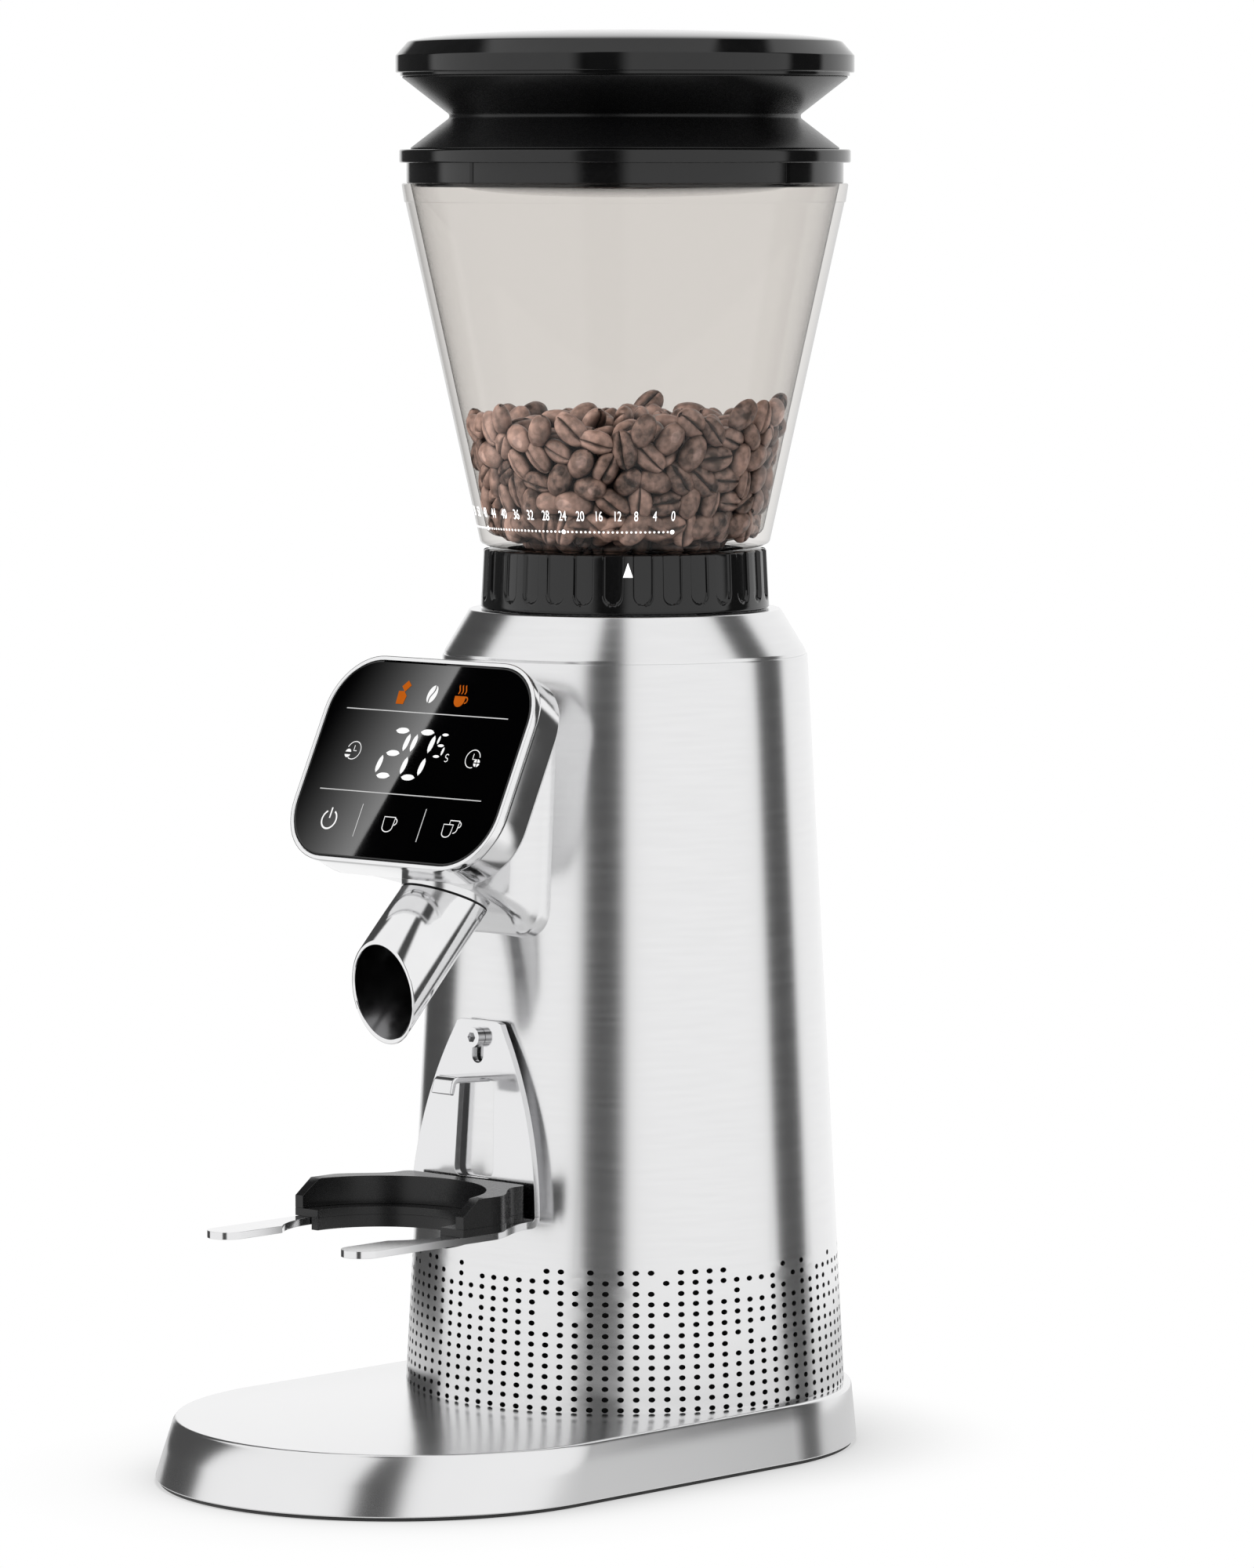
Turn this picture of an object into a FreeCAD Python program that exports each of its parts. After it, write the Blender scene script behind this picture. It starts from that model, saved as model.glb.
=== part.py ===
import FreeCAD
import Part
import math
import os

# Burr coffee grinder, in millimetres. The origin is on the burr axis at the table, +Z is up,
# and the machine faces -Y.

# Fits
FIT = 0.1
RUN_GAP = 0.3
SHAFT_FIT = 0.05
PRESS_FIT = 0.02
BURR_GAP = 0.6

# Base
PAD_THICK = 1.1
PAD_INSET = 1.2
BASE_HEIGHT = 15.9
BASE_TOP_RADIUS = 66.45
BASE_FLARE = 0.69
BASE_REAR_TOP = -3.9
BASE_REAR_BOTTOM = -2.65
BASE_FRONT_TOP = -83.6
BASE_FRONT_BOTTOM = -89.9
BASE_WALL = 3.0
BASE_DECK = 3.0
PLATE_THICK = 2.0

# Body shell
BODY_HEIGHT = 205.1
BODY_INSET = 4.65
BODY_TAPER_SHARE = 0.82686
BODY_WALL = 2.0
BODY_FLANGE_WIDTH = 11.0
BODY_FLANGE_THICK = 4.0

# Shoulder collar
SEAM_HEIGHT = 1.4
SEAM_STEP = 1.1
SHOULDER_HEIGHT = 11.1
SPIGOT_DEPTH = 5.0
COLLAR_LIP = 5.1
COLLAR_LAND = 3.1

# Adjusting ring
RING_HEIGHT = 16.5
RING_SHARE = 0.79061
RING_TAPER = 0.8
RING_STEP = 2.4
RING_WALL = 3.5
RING_LIP_THICK = 1.4
RING_LIP_WIDTH = 1.5
FLUTE_COUNT = 30
FLUTE_ANGLE = 8.3
FLUTE_WIDTH = 5.4
FLUTE_DEPTH = 0.9
FLUTE_FOOT = 2.6
CLIP_THICK = 1.2
CLIP_DEPTH = 1.2
CLIP_STAND = 2.0

# Burrs and their carrier
CARRIER_GUIDE_WALL = 5.6
CARRIER_NECK_WALL = 3.7
CARRIER_WEB = 4.0
CARRIER_FLANGE_THICK = 4.0
KEY_COUNT = 3
KEY_WIDTH = 6.0
KEY_HEIGHT = 10.0
KEY_DEPTH = 1.6
OUTER_BURR_SHARE = 0.594
OUTER_BURR_HEIGHT = 12.0
THROAT_SHARE = 0.604
INNER_BURR_SHARE = 0.75
INNER_BURR_TOP_SHARE = 0.396
INNER_BURR_HEIGHT = 20.0
INNER_BURR_DROP = 1.5
BURR_TEETH = 24
TOOTH_DEPTH = 1.6
BURR_SCREW_RADIUS = 1.5
BURR_SCREW_HEAD = 2.6
BURR_SCREW_HEAD_THICK = 2.0
BURR_SCREW_RIM = 0.9
BURR_SCREW_BITE = 4.0
BURR_SCREW_ANGLE = 30.0
KEY_ANGLE = 90.0
SCREW_ANGLE = 45.0

# Grinding chamber
CHAMBER_DEPTH = 12.1
CHAMBER_NECK = 8.9
CHAMBER_WALL = 3.5
CHAMBER_FLANGE = 4.0
CHAMBER_FLOOR = 4.0
CAVITY_STEP = 2.5
SWEEPER_HEIGHT = 5.0
SWEEPER_HUB_RADIUS = 12.0
SWEEPER_BLADE = 3.0
SWEEPER_LIFT = 0.6
BOSS_HEIGHT = 14.0
BOSS_WALL = 4.0

# Shaft, bearings and gearbox
SHAFT_RADIUS = 6.0
BEARING_RADIUS = 14.0
BEARING_HEIGHT = 8.0
BEARING_BORE_STEP = 1.0
NUT_RADIUS = 7.0
NUT_HEIGHT = 5.0
STUD_RADIUS = 4.0
GEAR_MODULE = 1.0
SUN_TEETH = 12
PLANET_TEETH = 18
PLANET_COUNT = 3
PRESSURE_ANGLE = 25.0
ADDENDUM = 0.9
DEDENDUM = 1.2
BACKLASH = 0.22
GEAR_WIDTH = 12.0
GEAR_END_GAP = 1.5
GEARBOX_WALL = 7.5
GEARBOX_CAP = 12.0
PLANET_PIN_RADIUS = 2.5
CARRIER_PLATE_THICK = 6.5

# Motor
MOTOR_PLATE_THICK = 4.0
MOTOR_PLATE_MARGIN = 5.0
MOTOR_RADIUS = 31.0
MOTOR_LENGTH = 80.0
MOTOR_WALL = 1.6
END_CAP_THICK = 5.0
MOTOR_SHAFT_RADIUS = 2.5
ARMATURE_RADIUS = 24.0
ARMATURE_SLOT = 2.0
ARMATURE_SLOT_DEPTH = 7.0
ARMATURE_ROOM = 14.0
FAN_HEIGHT = 8.0
FAN_GAP = 3.0
FAN_HUB_RADIUS = 7.0
FAN_BLADES = 9
FAN_BLADE_THICK = 1.6
FAN_TIP_INSET = 2.0

# Screws shared by the fixed pieces
SCREW_RADIUS = 2.0
SCREW_HEAD_RADIUS = 3.5
SCREW_HEAD_THICK = 3.0
SCREW_BITE = 6.0
SCREW_COUNT = 4

# Display head
HEAD_TILT = 26.0
HEAD_REACH = 34.1
HEAD_DROP = 25.6
HEAD_WIDTH = 79.3
HEAD_HEIGHT = 60.7
HEAD_CORNER = 17.0
HEAD_DEPTH = 12.5
HEAD_WALL = 2.0
BEZEL_LIP = 1.3
BEZEL_DEPTH = 2.0
GLASS_THICK = 1.8
GLASS_LEDGE = 1.5
BOARD_THICK = 1.6
BOARD_MARGIN = 1.5
POST_RADIUS = 3.0
POST_HEIGHT = 3.5
POST_INSET = 9.0
BOARD_SCREW_RADIUS = 1.25
BOARD_SCREW_HEAD = 2.3
BOARD_SCREW_HEAD_THICK = 1.5
BOARD_SCREW_BITE = 4.0

# Neck between the head and the body
NECK_HALF_WIDTH = 15.5
NECK_BOTTOM_INSET = 3.35
NECK_TOP_INSET = 8.35
NECK_CORNER = 4.0
NECK_WALL = 2.5
DISH_INSET = 2.0
DISH_DEPTH = 12.5
SADDLE_MARGIN = 4.0
SADDLE_THICK = 3.0
WINDOW_MARGIN = 0.5

# Spout
SPOUT_RADIUS = 11.8
SPOUT_WALL = 1.0
SPOUT_REACH = 21.2
MITRE_DROP = 38.5
SPOUT_ANGLE = 45.0
SPOUT_LENGTH = 34.0
MOUTH_TILT = 9.0
STUB_TOP_RISE = 16.0
CHUTE_WIDTH = 18.0
CHUTE_HEIGHT = 9.0
CHUTE_WALL = 1.5
CHUTE_DROP = 1.0

# Fork bracket
SHEET = 2.0
BRACKET_GAP = 0.7
FORK_DROP = 87.8
PLATE_RISE = 53.2
PLATE_HALF_WIDTH = 24.0
PLATE_MID_SHARE = 0.4624
PLATE_MID_HALF_WIDTH = 20.2
PLATE_TOP_HALF_WIDTH = 6.8
PLATE_TOP_CORNER = 2.6
SLOT_HALF_WIDTH = 2.1
SLOT_DROP = 7.1
SLOT_TOP_DROP = 4.7
HOOK_DROP = 15.8
HOOK_WIDTH = 7.6
HOOK_REACH = 14.0
HOOK_LIP = 4.6
HATCH_BOTTOM = 9.8
HATCH_BOTTOM_HALF = 7.5
HATCH_TOP_HALF = 6.5
HATCH_CORNER = 2.0
PRONG_TIP = 74.2
PRONG_CENTRE = 25.8
PRONG_WIDTH = 11.0
FORK_FLARE_START = 3.0
FORK_FLARE_END = 24.0
FORK_CIRCLE = 26.3

# Bracket screw
HANGER_RADIUS = 2.0
HANGER_THREAD_RADIUS = 1.5
HANGER_THREAD_LENGTH = 6.0
HANGER_HEAD_RADIUS = 2.8
HANGER_HEAD_THICK = 2.6
HANGER_SOCKET = 1.3
HANGER_SOCKET_DEPTH = 1.5

# Cradle rest
CRADLE_HEIGHT = 10.0
CRADLE_REAR_GAP = 1.8
CRADLE_REAR_HALF = 22.9
CRADLE_HALF_WIDTH = 32.4
CRADLE_REACH = 36.5
CRADLE_STRAIGHT = 5.0
CRADLE_FLARE = 21.0
RECESS_RADIUS = 29.4
LEDGE_RADIUS = 23.6
LEDGE_RISE = 2.2
LIP_DROP = 3.4
HORN_CHAMFER_RISE = 4.4
HORN_CHAMFER_RUN = 6.0
CRADLE_SCREW_X = 14.0
CRADLE_SCREW_RUN = 4.5
CRADLE_SCREW_RADIUS = 1.2
CRADLE_SCREW_HEAD = 2.4
CRADLE_SCREW_HEAD_THICK = 1.4
CRADLE_SCREW_BITE = 5.0

# Hopper
HOPPER_GAP = 0.6
HOPPER_HEIGHT = 101.1
HOPPER_TOP_RADIUS = 62.3
HOPPER_RIM_HEIGHT = 5.2
HOPPER_RIM_STEP = 0.3
HOPPER_RIM_TAPER = 1.1
HOPPER_OVERHANG = 1.4
HOPPER_CORNER_RISE = 3.6
HOPPER_CORNER_MID = 2.6
HOPPER_CORNER_WIDTH = 3.2
HOPPER_WALL = 2.5
HOPPER_SEAT_DEPTH = 8.0

# Lid
SKIRT_HEIGHT = 5.7
SKIRT_INSET = 1.4
SKIRT_WALL = 4.0
PLUG_DEPTH = 4.0
LID_FLANGE_OVERHANG = 0.6
LID_FLANGE_THICK = 3.7
BELLOWS_HEIGHT = 20.3
BELLOWS_INSET = 0.6
BELLOWS_FOLD = 12.0
BELLOWS_WAIST_RISE = 9.2
BELLOWS_WALL = 1.8
CAP_OVERHANG = 1.6
CAP_SEAM = 0.9
CAP_SEAM_STEP = 1.3
CAP_RIM = 4.8
CAP_CHAMFER = 3.3
CAP_CHAMFER_WIDTH = 2.9
CAP_DOME = 3.8
CAP_WALL = 2.5
NOTCH_WIDTH = 1.6
NOTCH_DEPTH = 0.8
NOTCH_COUNT = 4

# Mains side
BOARD_STAND_INSET = 8.4
BOARD_STAND_WIDTH = 44.0
BOARD_STAND_HEIGHT = 62.0
BOARD_STAND_FOOT = 10.0
BOARD_STAND_SHEET = 1.5
POWER_BOARD_GAP = 3.0
POWER_BOARD_DROP = 4.0
CAPACITOR_RADIUS = 4.5
CAPACITOR_LENGTH = 7.0
RELAY_SIDE = 14.0
RELAY_HEIGHT = 6.0
GLAND_RISE = 15.0
GLAND_RADIUS = 5.5
GLAND_BORE = 3.2
GLAND_FLANGE_RADIUS = 8.0
GLAND_FLANGE = 2.5
GLAND_TAIL = 5.0

# Heights worked out from the sizes above
BASE_Z = PAD_THICK
DECK_Z = BASE_Z + BASE_HEIGHT
BODY_TOP_Z = DECK_Z + BODY_HEIGHT
HEAD_Z = BODY_TOP_Z - HEAD_DROP
MITRE_Z = HEAD_Z - MITRE_DROP
FORK_TOP_Z = MITRE_Z - FORK_DROP
COLLAR_TOP_Z = BODY_TOP_Z + SEAM_HEIGHT + SHOULDER_HEIGHT
COLLAR_FOOT_Z = BODY_TOP_Z - SPIGOT_DEPTH
LIP_Z = COLLAR_TOP_Z - COLLAR_LIP
RING_Z = COLLAR_TOP_Z + RUN_GAP
RING_TOP_Z = RING_Z + RING_HEIGHT
CLIP_TOP_Z = LIP_Z - RUN_GAP
CLIP_Z = CLIP_TOP_Z - CLIP_THICK
RING_FOOT_Z = CLIP_Z - CLIP_STAND
HOPPER_Z = RING_TOP_Z + HOPPER_GAP
HOPPER_TOP_Z = HOPPER_Z + HOPPER_HEIGHT
LID_FLANGE_Z = HOPPER_TOP_Z + SKIRT_HEIGHT
BELLOWS_Z = LID_FLANGE_Z + LID_FLANGE_THICK
CAP_Z = BELLOWS_Z + BELLOWS_HEIGHT
CHAMBER_FLOOR_Z = COLLAR_FOOT_Z - CHAMBER_DEPTH
CHAMBER_FLANGE_Z = COLLAR_FOOT_Z - CHAMBER_FLANGE
CHAMBER_TOP_Z = COLLAR_FOOT_Z + CHAMBER_NECK
CHAMBER_FOOT_Z = CHAMBER_FLOOR_Z - CHAMBER_FLOOR
GEARBOX_TOP_Z = CHAMBER_FOOT_Z - BOSS_HEIGHT
UPPER_BEARING_Z = GEARBOX_TOP_Z
LOWER_BEARING_Z = GEARBOX_TOP_Z - GEARBOX_CAP
CARRIER_PLATE_TOP_Z = LOWER_BEARING_Z - GEAR_END_GAP
CARRIER_PLATE_Z = CARRIER_PLATE_TOP_Z - CARRIER_PLATE_THICK
GEAR_Z = CARRIER_PLATE_Z - GEAR_END_GAP - GEAR_WIDTH
GEARBOX_Z = GEAR_Z - GEAR_END_GAP
MOTOR_PLATE_Z = GEARBOX_Z - MOTOR_PLATE_THICK
MOTOR_Z = MOTOR_PLATE_Z - MOTOR_LENGTH
END_CAP_Z = MOTOR_Z - END_CAP_THICK
FAN_TOP_Z = END_CAP_Z - FAN_GAP
FAN_Z = FAN_TOP_Z - FAN_HEIGHT
SWEEPER_Z = CHAMBER_FLOOR_Z + SWEEPER_LIFT
INNER_BURR_Z = SWEEPER_Z + SWEEPER_HEIGHT
INNER_BURR_TOP_Z = INNER_BURR_Z + INNER_BURR_HEIGHT
OUTER_BURR_Z = INNER_BURR_Z + INNER_BURR_DROP
BURR_ROOF_Z = OUTER_BURR_Z + OUTER_BURR_HEIGHT
CARRIER_WEB_Z = BURR_ROOF_Z + CARRIER_WEB
CARRIER_TOP_Z = RING_TOP_Z - RING_LIP_THICK - 2 * RUN_GAP
HOPPER_SEAT_Z = CARRIER_TOP_Z - HOPPER_SEAT_DEPTH
CARRIER_FLANGE_Z = HOPPER_SEAT_Z - CARRIER_FLANGE_THICK
SCREW_Z = FORK_TOP_Z + PLATE_RISE - SLOT_TOP_DROP

# Radii and reaches worked out from the sizes above
BASE_BOTTOM_RADIUS = BASE_TOP_RADIUS + BASE_FLARE
BODY_BOTTOM_RADIUS = BASE_TOP_RADIUS - BODY_INSET
BODY_TOP_RADIUS = BODY_BOTTOM_RADIUS * BODY_TAPER_SHARE
HEAD_Y = -BODY_TOP_RADIUS - HEAD_REACH
SPOUT_Y = -BODY_TOP_RADIUS - SPOUT_REACH
NECK_BOTTOM = NECK_BOTTOM_INSET - HEAD_HEIGHT / 2
NECK_TOP = HEAD_HEIGHT / 2 - NECK_TOP_INSET
PLATE_MID_RISE = PLATE_RISE * PLATE_MID_SHARE
HOOK_RISE = PLATE_RISE - HOOK_DROP
BOARD_STAND_Y = (MOTOR_RADIUS + BODY_BOTTOM_RADIUS) / 2 - BOARD_STAND_INSET
RING_BOTTOM_RADIUS = BODY_TOP_RADIUS * RING_SHARE
RING_TOP_RADIUS = RING_BOTTOM_RADIUS - RING_TAPER
OUTER_BURR_RADIUS = RING_BOTTOM_RADIUS * OUTER_BURR_SHARE
THROAT_RADIUS = OUTER_BURR_RADIUS * THROAT_SHARE
INNER_BURR_RADIUS = OUTER_BURR_RADIUS * INNER_BURR_SHARE
INNER_BURR_TOP_RADIUS = OUTER_BURR_RADIUS * INNER_BURR_TOP_SHARE
BURR_SCREW_CIRCLE = OUTER_BURR_RADIUS - BURR_SCREW_HEAD - BURR_SCREW_RIM
CARRIER_GUIDE_RADIUS = OUTER_BURR_RADIUS + FIT + CARRIER_GUIDE_WALL
HOPPER_CONE_BOTTOM = RING_TOP_RADIUS + HOPPER_OVERHANG
HOPPER_FLOOR_RADIUS = HOPPER_CONE_BOTTOM - HOPPER_CORNER_WIDTH
HOPPER_CONE_TOP = HOPPER_TOP_RADIUS - HOPPER_RIM_TAPER
SKIRT_RADIUS = HOPPER_TOP_RADIUS - SKIRT_INSET
LID_FLANGE_RADIUS = HOPPER_TOP_RADIUS + LID_FLANGE_OVERHANG
CAP_RADIUS = HOPPER_TOP_RADIUS + CAP_OVERHANG
CAP_TOP_RADIUS = CAP_RADIUS - CAP_CHAMFER_WIDTH
BELLOWS_TOP_RADIUS = CAP_RADIUS - CAP_SEAM_STEP
BELLOWS_BOTTOM_RADIUS = SKIRT_RADIUS - BELLOWS_INSET
BELLOWS_WAIST_RADIUS = BELLOWS_BOTTOM_RADIUS - BELLOWS_FOLD
RING_SKIRT_RADIUS = RING_BOTTOM_RADIUS - RING_STEP
RING_BORE = RING_SKIRT_RADIUS - RING_WALL
COLLAR_BORE = RING_SKIRT_RADIUS + RUN_GAP
COLLAR_TOP_RADIUS = RING_BOTTOM_RADIUS + COLLAR_LAND
COLLAR_ROOM = RING_SKIRT_RADIUS + 2 * CLIP_DEPTH + RUN_GAP
SPIGOT_RADIUS = BODY_TOP_RADIUS - BODY_WALL - FIT
CARRIER_RADIUS = RING_BORE - RUN_GAP
SEAT_RADIUS = CARRIER_RADIUS - CARRIER_NECK_WALL
HOPPER_NECK_RADIUS = SEAT_RADIUS - RUN_GAP
HOPPER_BORE = HOPPER_NECK_RADIUS - HOPPER_WALL
CHAMBER_BORE = CARRIER_GUIDE_RADIUS + RUN_GAP
CHAMBER_RADIUS = CHAMBER_BORE + CHAMBER_WALL
CAVITY_RADIUS = CHAMBER_BORE - CAVITY_STEP
BOSS_RADIUS = BEARING_RADIUS + BOSS_WALL
SHAFT_HOLE = SHAFT_RADIUS + RUN_GAP
RING_GEAR_TEETH = SUN_TEETH + 2 * PLANET_TEETH
PLANET_CIRCLE = GEAR_MODULE * (SUN_TEETH + PLANET_TEETH) / 2
GEARBOX_BORE = GEAR_MODULE * (RING_GEAR_TEETH / 2 + DEDENDUM)
GEARBOX_RADIUS = GEARBOX_BORE + GEARBOX_WALL
MOTOR_PLATE_RADIUS = GEARBOX_RADIUS + MOTOR_PLATE_MARGIN
BASE_SCREW_CIRCLE = BODY_BOTTOM_RADIUS - BODY_WALL - BODY_FLANGE_WIDTH / 2
CHAMBER_SCREW_CIRCLE = (COLLAR_ROOM + SPIGOT_RADIUS) / 2
BODY_TAPER = math.degrees(math.atan2(BODY_BOTTOM_RADIUS - BODY_TOP_RADIUS, BODY_HEIGHT))
BEYOND = 60.0

X_AXIS = FreeCAD.Vector(1, 0, 0)
Z_AXIS = FreeCAD.Vector(0, 0, 1)


def vec(x, y, z):
    return FreeCAD.Vector(x, y, z)


def body_radius(z):
    """Outer radius of the body shell's cone at height z."""
    share = (z - DECK_Z) / BODY_HEIGHT
    return BODY_BOTTOM_RADIUS + (BODY_TOP_RADIUS - BODY_BOTTOM_RADIUS) * share


def revolve(points):
    """Solid of revolution about Z from a closed outline of (radius, height) points."""
    corners = [vec(r, 0, z) for r, z in points]
    outline = Part.makePolygon(corners + corners[:1])
    return Part.Face(outline).revolve(vec(0, 0, 0), Z_AXIS, 360)


def disc(radius, z0, z1, x=0.0, y=0.0):
    return Part.makeCylinder(radius, z1 - z0, vec(x, y, z0))


def tube(inner, outer, z0, z1):
    return disc(outer, z0, z1).cut(disc(inner, z0, z1))


def block(x0, x1, y0, y1, z0, z1):
    return Part.makeBox(x1 - x0, y1 - y0, z1 - z0, vec(x0, y0, z0))


def fused(shapes):
    return shapes[0].multiFuse(shapes[1:]).removeSplitter()


def around(shape, count, start=0.0):
    """Copies of a shape turned evenly about Z."""
    copies = []
    for index in range(count):
        turned = shape.copy()
        turned.rotate(vec(0, 0, 0), Z_AXIS, start + 360 * index / count)
        copies.append(turned)
    return copies


def polygon_face(points, z=0.0):
    corners = [vec(x, y, z) for x, y in points]
    return Part.Face(Part.makePolygon(corners + corners[:1]))


def line(a, b):
    return Part.LineSegment(vec(*a), vec(*b)).toShape()


def arc(a, middle, b):
    return Part.Arc(vec(*a), vec(*middle), vec(*b)).toShape()


def prism(edges, depth):
    """Extrusion of a flat outline along +Z."""
    return Part.Face(Part.Wire(edges)).extrude(vec(0, 0, depth))


def stadium(radius, rear, front, z):
    """Long round-ended outline, with each round end as two quarter arcs."""
    diagonal = radius * math.sqrt(0.5)
    east = (radius, rear, z)
    west = (-radius, rear, z)
    rear_tip = (0, rear + radius, z)
    front_tip = (0, front - radius, z)
    edges = [
        arc(east, (diagonal, rear + diagonal, z), rear_tip),
        arc(rear_tip, (-diagonal, rear + diagonal, z), west),
        line(west, (-radius, front, z)),
        arc((-radius, front, z), (-diagonal, front - diagonal, z), front_tip),
        arc(front_tip, (diagonal, front - diagonal, z), (radius, front, z)),
        line((radius, front, z), east),
    ]
    return Part.Wire(edges)


def base_outline(share, z, inset=0.0):
    """Outline of the base between its bottom edge, share 0, and its top edge, share 1."""
    radius = BASE_BOTTOM_RADIUS + (BASE_TOP_RADIUS - BASE_BOTTOM_RADIUS) * share - inset
    rear = BASE_REAR_BOTTOM + (BASE_REAR_TOP - BASE_REAR_BOTTOM) * share
    front = BASE_FRONT_BOTTOM + (BASE_FRONT_TOP - BASE_FRONT_BOTTOM) * share
    return stadium(radius, rear, front, z)


def rounded_edges(x0, x1, y0, y1, corner, z0):
    bulge = corner * (1 - math.sqrt(0.5))
    return [
        line((x0 + corner, y0, z0), (x1 - corner, y0, z0)),
        arc((x1 - corner, y0, z0), (x1 - bulge, y0 + bulge, z0), (x1, y0 + corner, z0)),
        line((x1, y0 + corner, z0), (x1, y1 - corner, z0)),
        arc((x1, y1 - corner, z0), (x1 - bulge, y1 - bulge, z0), (x1 - corner, y1, z0)),
        line((x1 - corner, y1, z0), (x0 + corner, y1, z0)),
        arc((x0 + corner, y1, z0), (x0 + bulge, y1 - bulge, z0), (x0, y1 - corner, z0)),
        line((x0, y1 - corner, z0), (x0, y0 + corner, z0)),
        arc((x0, y0 + corner, z0), (x0 + bulge, y0 + bulge, z0), (x0 + corner, y0, z0)),
    ]


def rounded_rect(x0, x1, y0, y1, corner, z0, z1):
    """Upright prism with a rounded rectangular outline."""
    return prism(rounded_edges(x0, x1, y0, y1, corner, z0), z1 - z0)


def panel(inset, z0, z1):
    """Slice of the head's outline in the head's own frame, drawn in by an inset."""
    half_width = HEAD_WIDTH / 2 - inset
    half_height = HEAD_HEIGHT / 2 - inset
    return rounded_rect(
        -half_width, half_width, -half_height, half_height, HEAD_CORNER - inset, z0, z1
    )


def leaning(shape, y, z, tilt):
    """Places a shape drawn in a frame of its own: x across, y up the slope, z out to the front."""
    placed = shape.copy()
    turn = FreeCAD.Rotation(X_AXIS, 90 - tilt)
    placed.Placement = FreeCAD.Placement(vec(0, y, z), turn).multiply(placed.Placement)
    return placed


def on_head(shape):
    return leaning(shape, HEAD_Y, HEAD_Z, HEAD_TILT)


def on_bracket(shape):
    return leaning(shape, -body_radius(FORK_TOP_Z), FORK_TOP_Z, BODY_TAPER)


def body_cone(offset, z0=None, z1=None):
    """Solid cone of the body's outside, moved out by an offset."""
    low = DECK_Z if z0 is None else z0
    high = BODY_TOP_Z if z1 is None else z1
    return Part.makeCone(body_radius(low) + offset, body_radius(high) + offset, high - low, vec(0, 0, low))


def screw_up(x, y, z, bite):
    """Cap screw with its head below z and its shank going up."""
    shank = disc(SCREW_RADIUS, z, z + bite, x, y)
    head = disc(SCREW_HEAD_RADIUS, z - SCREW_HEAD_THICK, z, x, y)
    return fused([head, shank])


def circle_points(count, radius, start):
    for index in range(count):
        angle = math.radians(start + 360 * index / count)
        yield radius * math.cos(angle), radius * math.sin(angle)


def screws_up(count, circle, start, z, bite):
    return Part.makeCompound([screw_up(x, y, z, bite) for x, y in circle_points(count, circle, start)])


def screw_holes(count, circle, start, z0, z1, clearance):
    holes = [disc(SCREW_RADIUS + clearance, z0, z1, x, y) for x, y in circle_points(count, circle, start)]
    return Part.makeCompound(holes)


def gear_outline(teeth, tip, root, backlash, phase):
    """Corner points of an involute gear, with a tooth's middle at the phase angle in degrees."""
    pitch_radius = GEAR_MODULE * teeth / 2
    pressure = math.radians(PRESSURE_ANGLE)
    base_radius = pitch_radius * math.cos(pressure)
    half_tooth = math.pi / (2 * teeth) - backlash / (2 * pitch_radius)
    flare = math.tan(pressure) - pressure
    start_radius = max(base_radius, root)
    steps = 4
    flank = []
    for step in range(steps + 1):
        radius = start_radius + (tip - start_radius) * step / steps
        roll = math.acos(min(1.0, base_radius / radius))
        flank.append((radius, half_tooth + flare - (math.tan(roll) - roll)))
    points = []
    for tooth in range(teeth):
        middle = math.radians(phase) + 2 * math.pi * tooth / teeth
        rising = [(root, middle - flank[0][1])] + [(r, middle - a) for r, a in flank]
        falling = [(r, middle + a) for r, a in reversed(flank)] + [(root, middle + flank[0][1])]
        for radius, angle in rising + falling:
            points.append((radius * math.cos(angle), radius * math.sin(angle)))
    return points


def without_repeats(points):
    kept = []
    for point in points:
        if not kept or math.dist(point, kept[-1]) > SHAFT_FIT:
            kept.append(point)
    if math.dist(kept[0], kept[-1]) <= SHAFT_FIT:
        kept.pop()
    return kept


def external_gear(teeth, phase, bore):
    pitch_radius = GEAR_MODULE * teeth / 2
    tip = pitch_radius + GEAR_MODULE * ADDENDUM
    root = pitch_radius - GEAR_MODULE * DEDENDUM
    outline = without_repeats(gear_outline(teeth, tip, root, BACKLASH, phase))
    wheel = polygon_face(outline, GEAR_Z).extrude(vec(0, 0, GEAR_WIDTH))
    return wheel.cut(disc(bore, GEAR_Z, GEAR_Z + GEAR_WIDTH))


def planet_angle(index):
    return 90 + 360 * index / PLANET_COUNT


def star(teeth, outer, depth, z, phase=0.0):
    """Saw-toothed outline of a burr at height z."""
    corners = []
    for tooth in range(teeth):
        tip = math.radians(phase + 360 * tooth / teeth)
        root = math.radians(phase + 360 * (tooth + 0.35) / teeth)
        corners.append(vec(outer * math.cos(tip), outer * math.sin(tip), z))
        corners.append(vec((outer - depth) * math.cos(root), (outer - depth) * math.sin(root), z))
    return Part.makePolygon(corners + corners[:1])


def inner_burr_radius(z):
    share = (z - INNER_BURR_Z) / INNER_BURR_HEIGHT
    return INNER_BURR_RADIUS + (INNER_BURR_TOP_RADIUS - INNER_BURR_RADIUS) * share


def foot_pad():
    outline = base_outline(0, 0, PAD_INSET)
    return Part.Face(outline).extrude(vec(0, 0, PAD_THICK))


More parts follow.
